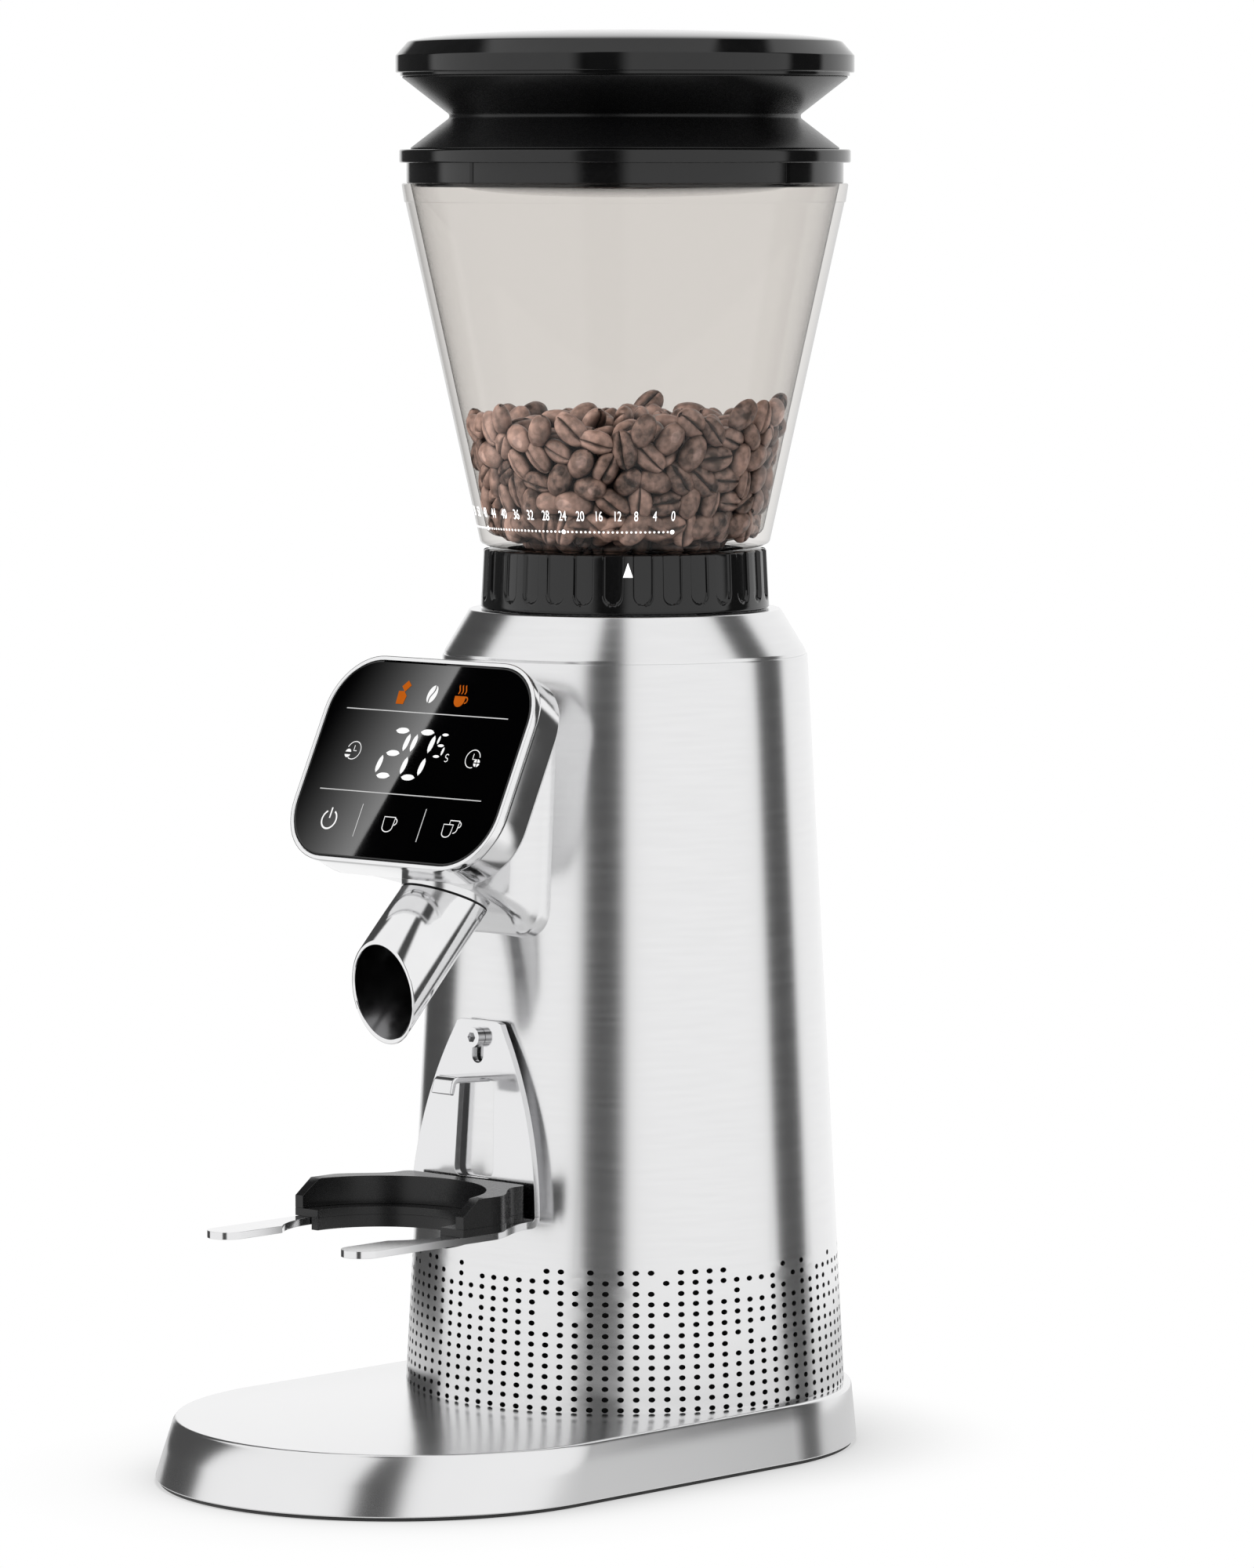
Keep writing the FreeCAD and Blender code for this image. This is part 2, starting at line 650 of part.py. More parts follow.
def base_shell():
    outside = Part.makeLoft([base_outline(0, BASE_Z), base_outline(1, DECK_Z)], True, True)
    roof_share = 1 - BASE_DECK / BASE_HEIGHT
    inside = Part.makeLoft(
        [
            base_outline(0, BASE_Z, BASE_WALL),
            base_outline(roof_share, DECK_Z - BASE_DECK, BASE_WALL),
        ],
        True,
        True,
    )
    holes = screw_holes(SCREW_COUNT, BASE_SCREW_CIRCLE, SCREW_ANGLE, BASE_Z, DECK_Z, FIT)
    return outside.cut(inside).cut(holes).cut(stand_screw_cylinders(FIT))


def base_plate():
    share = PLATE_THICK / BASE_HEIGHT
    inset = BASE_WALL + FIT
    low = base_outline(0, BASE_Z, inset)
    high = base_outline(share, BASE_Z + PLATE_THICK, inset)
    return Part.makeLoft([low, high], True, True)


def base_screws():
    bite = BASE_DECK + BODY_FLANGE_THICK
    return screws_up(SCREW_COUNT, BASE_SCREW_CIRCLE, SCREW_ANGLE, DECK_Z - BASE_DECK, bite)


def body_shell():
    shell = body_cone(0).cut(body_cone(-BODY_WALL))
    flange_outer = BODY_BOTTOM_RADIUS - BODY_WALL
    flange = tube(flange_outer - BODY_FLANGE_WIDTH, flange_outer, DECK_Z, DECK_Z + BODY_FLANGE_THICK)
    flange = flange.common(body_cone(-BODY_WALL / 2))
    shell = fused([shell, flange])
    shell = shell.cut(neck_window())
    shell = shell.cut(gland_hole())
    shell = shell.cut(on_bracket(hanger_hole()))
    shell = shell.cut(neck_screw_holes())
    flange_top = DECK_Z + BODY_FLANGE_THICK
    return shell.cut(screw_holes(SCREW_COUNT, BASE_SCREW_CIRCLE, SCREW_ANGLE, DECK_Z, flange_top, FIT))


def shoulder_collar():
    outline = [
        (SPIGOT_RADIUS, COLLAR_FOOT_Z),
        (SPIGOT_RADIUS, BODY_TOP_Z),
        (BODY_TOP_RADIUS - SEAM_STEP / 2, BODY_TOP_Z),
        (BODY_TOP_RADIUS - SEAM_STEP / 2, BODY_TOP_Z + SEAM_HEIGHT / 2),
        (BODY_TOP_RADIUS - SEAM_STEP, BODY_TOP_Z + SEAM_HEIGHT),
        (COLLAR_TOP_RADIUS, COLLAR_TOP_Z),
        (COLLAR_BORE, COLLAR_TOP_Z),
        (COLLAR_BORE, LIP_Z),
        (COLLAR_ROOM, LIP_Z),
        (COLLAR_ROOM, COLLAR_FOOT_Z),
    ]
    holes = screw_holes(
        SCREW_COUNT, CHAMBER_SCREW_CIRCLE, SCREW_ANGLE, COLLAR_FOOT_Z, COLLAR_FOOT_Z + SCREW_BITE, FIT
    )
    return revolve(outline).cut(holes)


def grind_chamber():
    flange_radius = SPIGOT_RADIUS
    boss_seat_z = UPPER_BEARING_Z + BEARING_HEIGHT
    outline = [
        (CHAMBER_BORE, CHAMBER_TOP_Z),
        (CHAMBER_RADIUS, CHAMBER_TOP_Z),
        (CHAMBER_RADIUS, COLLAR_FOOT_Z),
        (flange_radius, COLLAR_FOOT_Z),
        (flange_radius, CHAMBER_FLANGE_Z),
        (CHAMBER_RADIUS, CHAMBER_FLANGE_Z),
        (CHAMBER_RADIUS, CHAMBER_FOOT_Z),
        (BOSS_RADIUS, CHAMBER_FOOT_Z),
        (BOSS_RADIUS, GEARBOX_TOP_Z),
        (BEARING_RADIUS + SHAFT_FIT, GEARBOX_TOP_Z),
        (BEARING_RADIUS + SHAFT_FIT, boss_seat_z),
        (SHAFT_HOLE, boss_seat_z),
        (SHAFT_HOLE, CHAMBER_FLOOR_Z),
        (CAVITY_RADIUS, CHAMBER_FLOOR_Z),
        (CAVITY_RADIUS, INNER_BURR_Z),
        (CHAMBER_BORE, INNER_BURR_Z),
    ]
    chamber = revolve(outline)
    slot = block(
        0,
        CHAMBER_BORE + KEY_DEPTH + RUN_GAP,
        -KEY_WIDTH / 2 - RUN_GAP,
        KEY_WIDTH / 2 + RUN_GAP,
        INNER_BURR_Z,
        CHAMBER_TOP_Z,
    )
    ring_only = slot.cut(disc(CARRIER_GUIDE_RADIUS, INNER_BURR_Z, CHAMBER_TOP_Z))
    chamber = chamber.cut(Part.makeCompound(around(ring_only, KEY_COUNT, KEY_ANGLE)))
    chamber = chamber.cut(chamber_exit())
    circle = gearbox_screw_circle()
    holes = screw_holes(
        SCREW_COUNT, CHAMBER_SCREW_CIRCLE, SCREW_ANGLE, CHAMBER_FLANGE_Z, COLLAR_FOOT_Z, FIT
    )
    tapped = screw_holes(SCREW_COUNT, circle, SCREW_ANGLE, GEARBOX_TOP_Z, CHAMBER_FOOT_Z, FIT)
    ears = gearbox_ears(GEARBOX_TOP_Z, CHAMBER_FOOT_Z)
    return fused([chamber.cut(holes), ears]).cut(tapped).cut(bearing_room())


def bearing_room():
    return disc(BEARING_RADIUS + SHAFT_FIT, GEARBOX_TOP_Z, GEARBOX_TOP_Z + BEARING_HEIGHT)


def gearbox_screw_circle():
    return GEARBOX_RADIUS - SCREW_HEAD_RADIUS


def gearbox_ears(z0, z1):
    """Round posts between the chamber's floor and the gearbox, joined to the bearing boss."""
    reach = gearbox_screw_circle()
    post = disc(SCREW_HEAD_RADIUS, z0, z1, reach, 0)
    web = block(0, reach, -SCREW_RADIUS, SCREW_RADIUS, z0, z1)
    web = web.cut(disc(BOSS_RADIUS - FIT, z0, z1))
    ears = around(fused([post, web]), SCREW_COUNT, SCREW_ANGLE)
    return Part.makeCompound(ears)


def chamber_screws():
    bite = CHAMBER_FLANGE + SCREW_BITE
    return screws_up(SCREW_COUNT, CHAMBER_SCREW_CIRCLE, SCREW_ANGLE, CHAMBER_FLANGE_Z, bite)


def bearing(z):
    bore = SHAFT_RADIUS + SHAFT_FIT
    return tube(bore, BEARING_RADIUS, z, z + BEARING_HEIGHT)


def upper_bearing():
    return bearing(UPPER_BEARING_Z)


def lower_bearing():
    return bearing(LOWER_BEARING_Z)


def gearbox_housing():
    seat_z = LOWER_BEARING_Z + BEARING_HEIGHT
    shell = disc(GEARBOX_RADIUS, GEARBOX_Z, GEARBOX_TOP_Z)
    cavity = disc(GEARBOX_BORE, CARRIER_PLATE_Z - GEAR_END_GAP, LOWER_BEARING_Z)
    pocket = disc(BEARING_RADIUS + SHAFT_FIT, LOWER_BEARING_Z, seat_z)
    through = disc(SHAFT_HOLE, seat_z, GEARBOX_TOP_Z)
    pitch_radius = GEAR_MODULE * RING_GEAR_TEETH / 2
    tip = pitch_radius + GEAR_MODULE * DEDENDUM
    root = pitch_radius - GEAR_MODULE * ADDENDUM
    phase = planet_angle(0) - 180 / RING_GEAR_TEETH
    spaces = without_repeats(gear_outline(RING_GEAR_TEETH, tip, root, -BACKLASH, phase))
    teeth = polygon_face(spaces, GEARBOX_Z).extrude(vec(0, 0, CARRIER_PLATE_Z - GEAR_END_GAP - GEARBOX_Z))
    holes = screw_holes(SCREW_COUNT, gearbox_screw_circle(), SCREW_ANGLE, GEARBOX_Z, GEARBOX_TOP_Z, FIT)
    housing = shell.cut(cavity).cut(pocket).cut(through).cut(teeth)
    return housing.cut(holes)


def gearbox_screws():
    bite = MOTOR_PLATE_THICK + GEARBOX_TOP_Z - GEARBOX_Z + SCREW_BITE
    return screws_up(SCREW_COUNT, gearbox_screw_circle(), SCREW_ANGLE, MOTOR_PLATE_Z, bite)


def planet_carrier():
    outer = GEARBOX_BORE - GEAR_MODULE * DEDENDUM - 1.5 * RUN_GAP
    plate = tube(SHAFT_RADIUS + PRESS_FIT, outer, CARRIER_PLATE_Z, CARRIER_PLATE_TOP_Z)
    pins = []
    for x, y in circle_points(PLANET_COUNT, PLANET_CIRCLE, planet_angle(0)):
        pins.append(disc(PLANET_PIN_RADIUS, GEAR_Z, CARRIER_PLATE_Z, x, y))
    return fused([plate] + pins)


def planet_gear(index):
    sun_pitch = 360 / SUN_TEETH
    planet_pitch = 360 / PLANET_TEETH
    angle = planet_angle(index)
    share = (angle / sun_pitch) % 1
    phase = angle + 180 + (share + 0.5) * planet_pitch
    wheel = external_gear(PLANET_TEETH, phase, PLANET_PIN_RADIUS + SHAFT_FIT)
    turn = math.radians(angle)
    wheel.translate(vec(PLANET_CIRCLE * math.cos(turn), PLANET_CIRCLE * math.sin(turn), 0))
    return wheel


def sun_gear():
    return external_gear(SUN_TEETH, 0, MOTOR_SHAFT_RADIUS + PRESS_FIT)


def burr_shaft():
    foot = disc(SHAFT_RADIUS, CARRIER_PLATE_Z, INNER_BURR_TOP_Z)
    stud = disc(STUD_RADIUS, INNER_BURR_TOP_Z, INNER_BURR_TOP_Z + NUT_HEIGHT)
    return fused([foot, stud])


def burr_nut():
    corners = list(circle_points(6, NUT_RADIUS, 0))
    nut = polygon_face(corners, INNER_BURR_TOP_Z).extrude(vec(0, 0, NUT_HEIGHT))
    return nut.cut(disc(STUD_RADIUS + PRESS_FIT, INNER_BURR_TOP_Z, INNER_BURR_TOP_Z + NUT_HEIGHT))


def sweeper():
    hub = disc(SWEEPER_HUB_RADIUS, SWEEPER_Z, INNER_BURR_Z)
    reach = CAVITY_RADIUS - BURR_GAP
    half = SWEEPER_BLADE / 2
    blade = block(0, reach, -half, half, SWEEPER_Z, INNER_BURR_Z)
    paddles = fused([hub] + around(blade, KEY_COUNT, BURR_SCREW_ANGLE))
    round_tip = disc(reach, SWEEPER_Z, INNER_BURR_Z)
    return paddles.common(round_tip).cut(disc(SHAFT_RADIUS + PRESS_FIT, SWEEPER_Z, INNER_BURR_Z))


def inner_burr():
    low = star(BURR_TEETH, INNER_BURR_RADIUS, TOOTH_DEPTH, INNER_BURR_Z)
    top_depth = TOOTH_DEPTH * INNER_BURR_TOP_RADIUS / INNER_BURR_RADIUS
    high = star(BURR_TEETH, INNER_BURR_TOP_RADIUS, top_depth, INNER_BURR_TOP_Z)
    cone = Part.makeLoft([low, high], True, True)
    return cone.cut(disc(SHAFT_RADIUS + PRESS_FIT, INNER_BURR_Z, INNER_BURR_TOP_Z))


def outer_burr():
    mouth = inner_burr_radius(OUTER_BURR_Z) + BURR_GAP + TOOTH_DEPTH
    low = star(BURR_TEETH, mouth, TOOTH_DEPTH, OUTER_BURR_Z)
    throat_depth = TOOTH_DEPTH * THROAT_RADIUS / mouth
    high = star(BURR_TEETH, THROAT_RADIUS + throat_depth, throat_depth, BURR_ROOF_Z)
    hollow = Part.makeLoft([low, high], True, True)
    holes = burr_screw_cylinders(BURR_SCREW_RADIUS + PRESS_FIT, BURR_ROOF_Z - BURR_SCREW_BITE, BURR_ROOF_Z)
    return disc(OUTER_BURR_RADIUS, OUTER_BURR_Z, BURR_ROOF_Z).cut(hollow).cut(holes)


def burr_screw_cylinders(radius, z0, z1):
    places = circle_points(KEY_COUNT, BURR_SCREW_CIRCLE, BURR_SCREW_ANGLE)
    return Part.makeCompound([disc(radius, z0, z1, x, y) for x, y in places])


def burr_screws():
    screws = []
    for x, y in circle_points(KEY_COUNT, BURR_SCREW_CIRCLE, BURR_SCREW_ANGLE):
        shank = disc(BURR_SCREW_RADIUS, BURR_ROOF_Z - BURR_SCREW_BITE, CARRIER_WEB_Z, x, y)
        head = disc(BURR_SCREW_HEAD, CARRIER_WEB_Z, CARRIER_WEB_Z + BURR_SCREW_HEAD_THICK, x, y)
        screws.append(fused([head, shank]))
    return Part.makeCompound(screws)


def burr_carrier():
    pocket = OUTER_BURR_RADIUS + FIT
    deck_radius = BURR_SCREW_CIRCLE + BURR_SCREW_HEAD + FIT
    outline = [
        (CARRIER_GUIDE_RADIUS, OUTER_BURR_Z),
        (CARRIER_GUIDE_RADIUS, CARRIER_FLANGE_Z),
        (CARRIER_RADIUS, CARRIER_FLANGE_Z),
        (CARRIER_RADIUS, CARRIER_TOP_Z),
        (SEAT_RADIUS, CARRIER_TOP_Z),
        (SEAT_RADIUS, HOPPER_SEAT_Z),
        (HOPPER_BORE, HOPPER_SEAT_Z),
        (deck_radius, CARRIER_WEB_Z),
        (THROAT_RADIUS, CARRIER_WEB_Z),
        (THROAT_RADIUS, BURR_ROOF_Z),
        (pocket, BURR_ROOF_Z),
        (pocket, OUTER_BURR_Z),
    ]
    key_z = CHAMBER_TOP_Z - RUN_GAP - KEY_HEIGHT
    key = block(
        CARRIER_GUIDE_RADIUS - FIT,
        CHAMBER_BORE + KEY_DEPTH,
        -KEY_WIDTH / 2,
        KEY_WIDTH / 2,
        key_z,
        key_z + KEY_HEIGHT,
    )
    carrier = fused([revolve(outline)] + around(key, KEY_COUNT, KEY_ANGLE))
    return carrier.cut(burr_screw_cylinders(BURR_SCREW_RADIUS + FIT, BURR_ROOF_Z, CARRIER_WEB_Z))


def adjusting_ring():
    groove = RING_SKIRT_RADIUS - CLIP_DEPTH
    outline = [
        (RING_BORE, RING_FOOT_Z),
        (RING_SKIRT_RADIUS, RING_FOOT_Z),
        (RING_SKIRT_RADIUS, CLIP_Z),
        (groove, CLIP_Z),
        (groove, CLIP_TOP_Z),
        (RING_SKIRT_RADIUS, CLIP_TOP_Z),
        (RING_SKIRT_RADIUS, RING_Z),
        (RING_BOTTOM_RADIUS, RING_Z),
        (RING_TOP_RADIUS, RING_TOP_Z),
        (RING_BORE - RING_LIP_WIDTH, RING_TOP_Z),
        (RING_BORE - RING_LIP_WIDTH, RING_TOP_Z - RING_LIP_THICK),
        (RING_BORE, RING_TOP_Z - RING_LIP_THICK),
    ]
    half = FLUTE_WIDTH / 2
    foot_z = RING_Z + FLUTE_FOOT
    inner = RING_TOP_RADIUS - FLUTE_DEPTH
    reach = RING_BOTTOM_RADIUS + FLUTE_WIDTH
    slab = block(inner, reach, -half, half, foot_z + half, RING_TOP_Z + half)
    round_foot = Part.makeCylinder(half, reach - inner, vec(inner, 0, foot_z + half), X_AXIS)
    flutes = around(fused([slab, round_foot]), FLUTE_COUNT, FLUTE_ANGLE)
    return revolve(outline).cut(Part.makeCompound(flutes))


def ring_clip():
    groove = RING_SKIRT_RADIUS - CLIP_DEPTH + PRESS_FIT
    outer = RING_SKIRT_RADIUS + 2 * CLIP_DEPTH - RUN_GAP
    ring = tube(groove, outer, CLIP_Z, CLIP_TOP_Z)
    return ring.cut(block(0, outer, -SCREW_HEAD_RADIUS, SCREW_HEAD_RADIUS, CLIP_Z, CLIP_TOP_Z))


def hopper():
    rim_z = HOPPER_TOP_Z - HOPPER_RIM_HEIGHT
    corner_z = HOPPER_Z + HOPPER_CORNER_RISE
    middle_radius = HOPPER_FLOOR_RADIUS + HOPPER_CORNER_MID
    outline = [
        (HOPPER_NECK_RADIUS, HOPPER_SEAT_Z),
        (HOPPER_NECK_RADIUS, HOPPER_Z),
        (HOPPER_FLOOR_RADIUS, HOPPER_Z),
        (middle_radius, HOPPER_Z + HOPPER_CORNER_RISE - HOPPER_CORNER_MID),
        (HOPPER_CONE_BOTTOM, corner_z),
        (HOPPER_CONE_TOP, rim_z),
        (HOPPER_CONE_TOP + HOPPER_RIM_STEP, rim_z),
        (HOPPER_TOP_RADIUS, HOPPER_TOP_Z),
        (HOPPER_TOP_RADIUS - HOPPER_WALL, HOPPER_TOP_Z),
        (HOPPER_CONE_TOP - HOPPER_WALL, rim_z),
        (HOPPER_CONE_BOTTOM - HOPPER_WALL, corner_z),
        (HOPPER_BORE, HOPPER_Z + HOPPER_WALL / 2),
        (HOPPER_BORE, HOPPER_SEAT_Z),
    ]
    return revolve(outline)


def lid_ring():
    plug_radius = HOPPER_TOP_RADIUS - HOPPER_WALL - 2 * RUN_GAP
    plug_taper = (HOPPER_TOP_RADIUS - HOPPER_CONE_TOP) * PLUG_DEPTH / HOPPER_RIM_HEIGHT
    inner = SKIRT_RADIUS - SKIRT_WALL
    outline = [
        (inner, HOPPER_TOP_Z - PLUG_DEPTH),
        (plug_radius - plug_taper, HOPPER_TOP_Z - PLUG_DEPTH),
        (plug_radius, HOPPER_TOP_Z),
        (SKIRT_RADIUS, HOPPER_TOP_Z),
        (SKIRT_RADIUS, LID_FLANGE_Z),
        (LID_FLANGE_RADIUS, LID_FLANGE_Z),
        (LID_FLANGE_RADIUS, BELLOWS_Z),
        (inner, BELLOWS_Z),
    ]
    half = NOTCH_WIDTH / 2
    notch = block(SKIRT_RADIUS - NOTCH_DEPTH, LID_FLANGE_RADIUS, -half, half, HOPPER_TOP_Z, LID_FLANGE_Z)
    return revolve(outline).cut(Part.makeCompound(around(notch, NOTCH_COUNT)))


def bellows():
    waist_z = BELLOWS_Z + BELLOWS_WAIST_RISE
    outline = [
        (BELLOWS_BOTTOM_RADIUS, BELLOWS_Z),
        (BELLOWS_WAIST_RADIUS, waist_z),
        (BELLOWS_TOP_RADIUS, CAP_Z),
        (BELLOWS_TOP_RADIUS - 2 * BELLOWS_WALL, CAP_Z),
        (BELLOWS_WAIST_RADIUS - BELLOWS_WALL, waist_z),
        (BELLOWS_BOTTOM_RADIUS - 2 * BELLOWS_WALL, BELLOWS_Z),
    ]
    return revolve(outline)


def lid_cap():
    rim_z = CAP_Z + CAP_SEAM
    shoulder_z = rim_z + CAP_RIM
    edge_z = shoulder_z + CAP_CHAMFER
    top_z = edge_z + CAP_DOME
    dome_radius = (CAP_TOP_RADIUS**2 + CAP_DOME**2) / (2 * CAP_DOME)
    inner = CAP_RADIUS - CAP_SEAM_STEP - CAP_WALL
    outline = [
        (0, CAP_Z),
        (CAP_RADIUS - CAP_SEAM_STEP, CAP_Z),
        (CAP_RADIUS - CAP_SEAM_STEP, rim_z),
        (CAP_RADIUS, rim_z),
        (CAP_RADIUS, shoulder_z),
        (CAP_TOP_RADIUS, edge_z),
        (0, edge_z),
    ]
    hollow = disc(inner, CAP_Z, edge_z - CAP_WALL)
    ball = Part.makeSphere(dome_radius, vec(0, 0, top_z - dome_radius))
    dome = ball.common(disc(CAP_RADIUS, edge_z, top_z))
    return fused([revolve(outline).cut(hollow), dome])


def neck_prism(margin, front, rear):
    """Neck outline in the head's frame, widened by a margin, between two depths."""
    half = NECK_HALF_WIDTH + margin
    return rounded_rect(
        -half, half, NECK_BOTTOM - margin, NECK_TOP + margin, NECK_CORNER + margin, -rear, -front
    )


def dish_cone(inset, depth):
    """Tapered back of the head, from the head's outline drawn in by an inset to the neck's outline."""
    half_width = HEAD_WIDTH / 2 - inset
    half_height = HEAD_HEIGHT / 2 - inset
    wide = rounded_edges(
        -half_width, half_width, -half_height, half_height, HEAD_CORNER - inset, -HEAD_DEPTH
    )
    half = NECK_HALF_WIDTH
    narrow = rounded_edges(-half, half, NECK_BOTTOM, NECK_TOP, NECK_CORNER, -HEAD_DEPTH - depth)
    return Part.makeLoft([Part.Wire(wide), Part.Wire(narrow)], True, True)


def neck_reach():
    """Depth from the head's front that surely ends inside the body."""
    return HEAD_DEPTH + abs(HEAD_Y) - BODY_TOP_RADIUS + BEYOND / 2


def neck_window():
    wide = on_head(neck_prism(-NECK_WALL - WINDOW_MARGIN, HEAD_DEPTH, neck_reach()))
    return wide.common(body_cone(SADDLE_THICK)).cut(body_cone(-2 * BODY_WALL))


def neck_housing():
    core = on_head(neck_prism(0, HEAD_DEPTH, neck_reach()))
    saddle = on_head(neck_prism(SADDLE_MARGIN, HEAD_DEPTH, neck_reach()))
    saddle = saddle.common(body_cone(SADDLE_THICK))
    inside = on_head(neck_prism(-NECK_WALL, HEAD_DEPTH, neck_reach()))
    stub = spout_cylinder(SPOUT_RADIUS, MITRE_Z, STUB_TOP_RISE)
    bore = spout_cylinder(SPOUT_RADIUS - SPOUT_WALL, MITRE_Z, STUB_TOP_RISE)
    head_room = on_head(panel(0, -HEAD_DEPTH, BEYOND))
    bosses = head_screw_cylinders(POST_RADIUS, -HEAD_DEPTH - SCREW_BITE - FIT, -HEAD_DEPTH)
    dish = dish_cone(DISH_INSET, DISH_DEPTH)
    dish = dish.cut(dish_cone(DISH_INSET + NECK_WALL, DISH_DEPTH - NECK_WALL))
    neck = fused([core, saddle, on_head(dish)]).cut(inside)
    neck = fused([neck, stub] + [on_head(boss) for boss in bosses]).cut(bore).cut(body_cone(FIT))
    neck = neck.cut(head_room).cut(neck_screw_holes())
    return neck.cut(mitre_half(False)).cut(chute_solid(FIT)).cut(head_screw_holes())


def spout_cylinder(radius, low_z, rise):
    drop = 2 * radius
    return disc(radius, low_z - drop, low_z + rise, 0, SPOUT_Y)


def mitre_half(upper):
    """Everything above or below the mitre plane of the spout, near the spout."""
    size = BEYOND
    half = block(-size, size, -size, size, 0 if upper else -2 * size, 2 * size if upper else 0)
    half.rotate(vec(0, 0, 0), X_AXIS, -SPOUT_ANGLE / 2)
    half.translate(vec(0, SPOUT_Y, MITRE_Z))
    if upper:
        return half
    return half.common(disc(2 * SPOUT_RADIUS, MITRE_Z - BEYOND, MITRE_Z + BEYOND, 0, SPOUT_Y))


def spout_tube():
    slope = math.radians(SPOUT_ANGLE)
    direction = vec(0, -math.sin(slope), -math.cos(slope))
    start = vec(0, SPOUT_Y, MITRE_Z) - direction * (2 * SPOUT_RADIUS)
    length = SPOUT_LENGTH + 4 * SPOUT_RADIUS
    outside = Part.makeCylinder(SPOUT_RADIUS, length, start, direction)
    bore = Part.makeCylinder(SPOUT_RADIUS - SPOUT_WALL, length, start, direction)
    mouth = vec(0, SPOUT_Y, MITRE_Z) + direction * SPOUT_LENGTH
    front = block(-BEYOND, BEYOND, -2 * BEYOND, 0, -BEYOND, BEYOND)
    front.rotate(vec(0, 0, 0), X_AXIS, MOUTH_TILT)
    front.translate(mouth)
    upper = mitre_half(True)
    upper.translate(vec(0, 0, -FIT))
    return outside.cut(bore).cut(upper).cut(front)


def chute_start():
    return vec(0, -CHAMBER_RADIUS, CHAMBER_FLOOR_Z + CHUTE_HEIGHT / 2 - CHUTE_DROP)


def chute_bar(width, height):
    """Sloping bar from inside the chamber's wall down into the spout's stub."""
    start = chute_start()
    end = vec(0, SPOUT_Y, MITRE_Z + STUB_TOP_RISE - CHUTE_HEIGHT)
    run = end - start
    slope = math.degrees(math.atan2(run.z, run.y))
    over = CHAMBER_RADIUS / 2
    bar = block(-width / 2, width / 2, -over, run.Length, -height / 2, height / 2)
    bar.rotate(vec(0, 0, 0), X_AXIS, slope)
    bar.translate(start)
    return bar


def chute_solid(margin):
    full = 2 * (CHUTE_WALL + margin)
    bar = chute_bar(CHUTE_WIDTH + full, CHUTE_HEIGHT + full)
    below_flange = block(-BEYOND, BEYOND, SPOUT_Y, BEYOND, CHAMBER_FLANGE_Z - 2 * BEYOND, CHAMBER_FLANGE_Z)
    bar = bar.common(below_flange)
    return bar.cut(disc(CHAMBER_RADIUS + FIT, CHAMBER_FOOT_Z - BEYOND, COLLAR_TOP_Z))


def chamber_exit():
    half = CHUTE_WIDTH / 2
    return block(-half, half, -CHAMBER_RADIUS, -CAVITY_RADIUS / 2, CHAMBER_FLOOR_Z, INNER_BURR_Z)


def grounds_chute():
    bar = chute_solid(0).cut(chute_bar(CHUTE_WIDTH, CHUTE_HEIGHT))
    stub_room = disc(SPOUT_RADIUS - SPOUT_WALL, MITRE_Z - BEYOND, COLLAR_TOP_Z, 0, SPOUT_Y)
    return bar.cut(stub_room)


def neck_screw_places():
    """Where the four neck screws pass the body wall, as (x, z)."""
    depth = (abs(HEAD_Y) - BODY_TOP_RADIUS) / math.cos(math.radians(HEAD_TILT))
    fall = depth * math.sin(math.radians(HEAD_TILT))
    rise = math.cos(math.radians(HEAD_TILT))
    middle = HEAD_Z - fall + (NECK_TOP + NECK_BOTTOM) / 2 * rise
    reach = (NECK_TOP - NECK_BOTTOM) / 4 * rise
    return [(side * NECK_HALF_WIDTH, middle + up * reach) for side in (-1, 1) for up in (-1, 1)]


def neck_screw(x, z, radius, head_radius):
    wall = math.sqrt(body_radius(z) ** 2 - x**2)
    inner = math.sqrt((body_radius(z) - BODY_WALL) ** 2 - (abs(x) + head_radius) ** 2)
    along = vec(0, -1, 0)
    shank = Part.makeCylinder(radius, wall + SADDLE_THICK / 2 - inner, vec(x, -inner, z), along)
    head = Part.makeCylinder(head_radius, SCREW_HEAD_THICK, vec(x, -inner + SCREW_HEAD_THICK, z), along)
    return shank, head


def neck_screws():
    screws = []
    for x, z in neck_screw_places():
        shank, head = neck_screw(x, z, BOARD_SCREW_RADIUS, BOARD_SCREW_HEAD)
        screws.append(fused([shank, head]))
    return Part.makeCompound(screws)


def neck_screw_holes():
    radius = BOARD_SCREW_RADIUS + FIT
    shanks = [neck_screw(x, z, radius, BOARD_SCREW_HEAD)[0] for x, z in neck_screw_places()]
    return Part.makeCompound(shanks)


def bezel_frame():
    return on_head(panel(0, -BEZEL_DEPTH, 0).cut(panel(BEZEL_LIP, -BEZEL_DEPTH, 0)))


def touch_glass():
    return on_head(panel(BEZEL_LIP + FIT, -BEZEL_DEPTH, -BEZEL_DEPTH + GLASS_THICK))


def head_post_places():
    x = HEAD_WIDTH / 2 - POST_INSET
    y = HEAD_HEIGHT / 2 - POST_INSET
    return [(sx * x, sy * y) for sx in (-1, 1) for sy in (-1, 1)]


def head_floor():
    """Depth of the head's inner floor in its own frame."""
    return -HEAD_DEPTH + HEAD_WALL


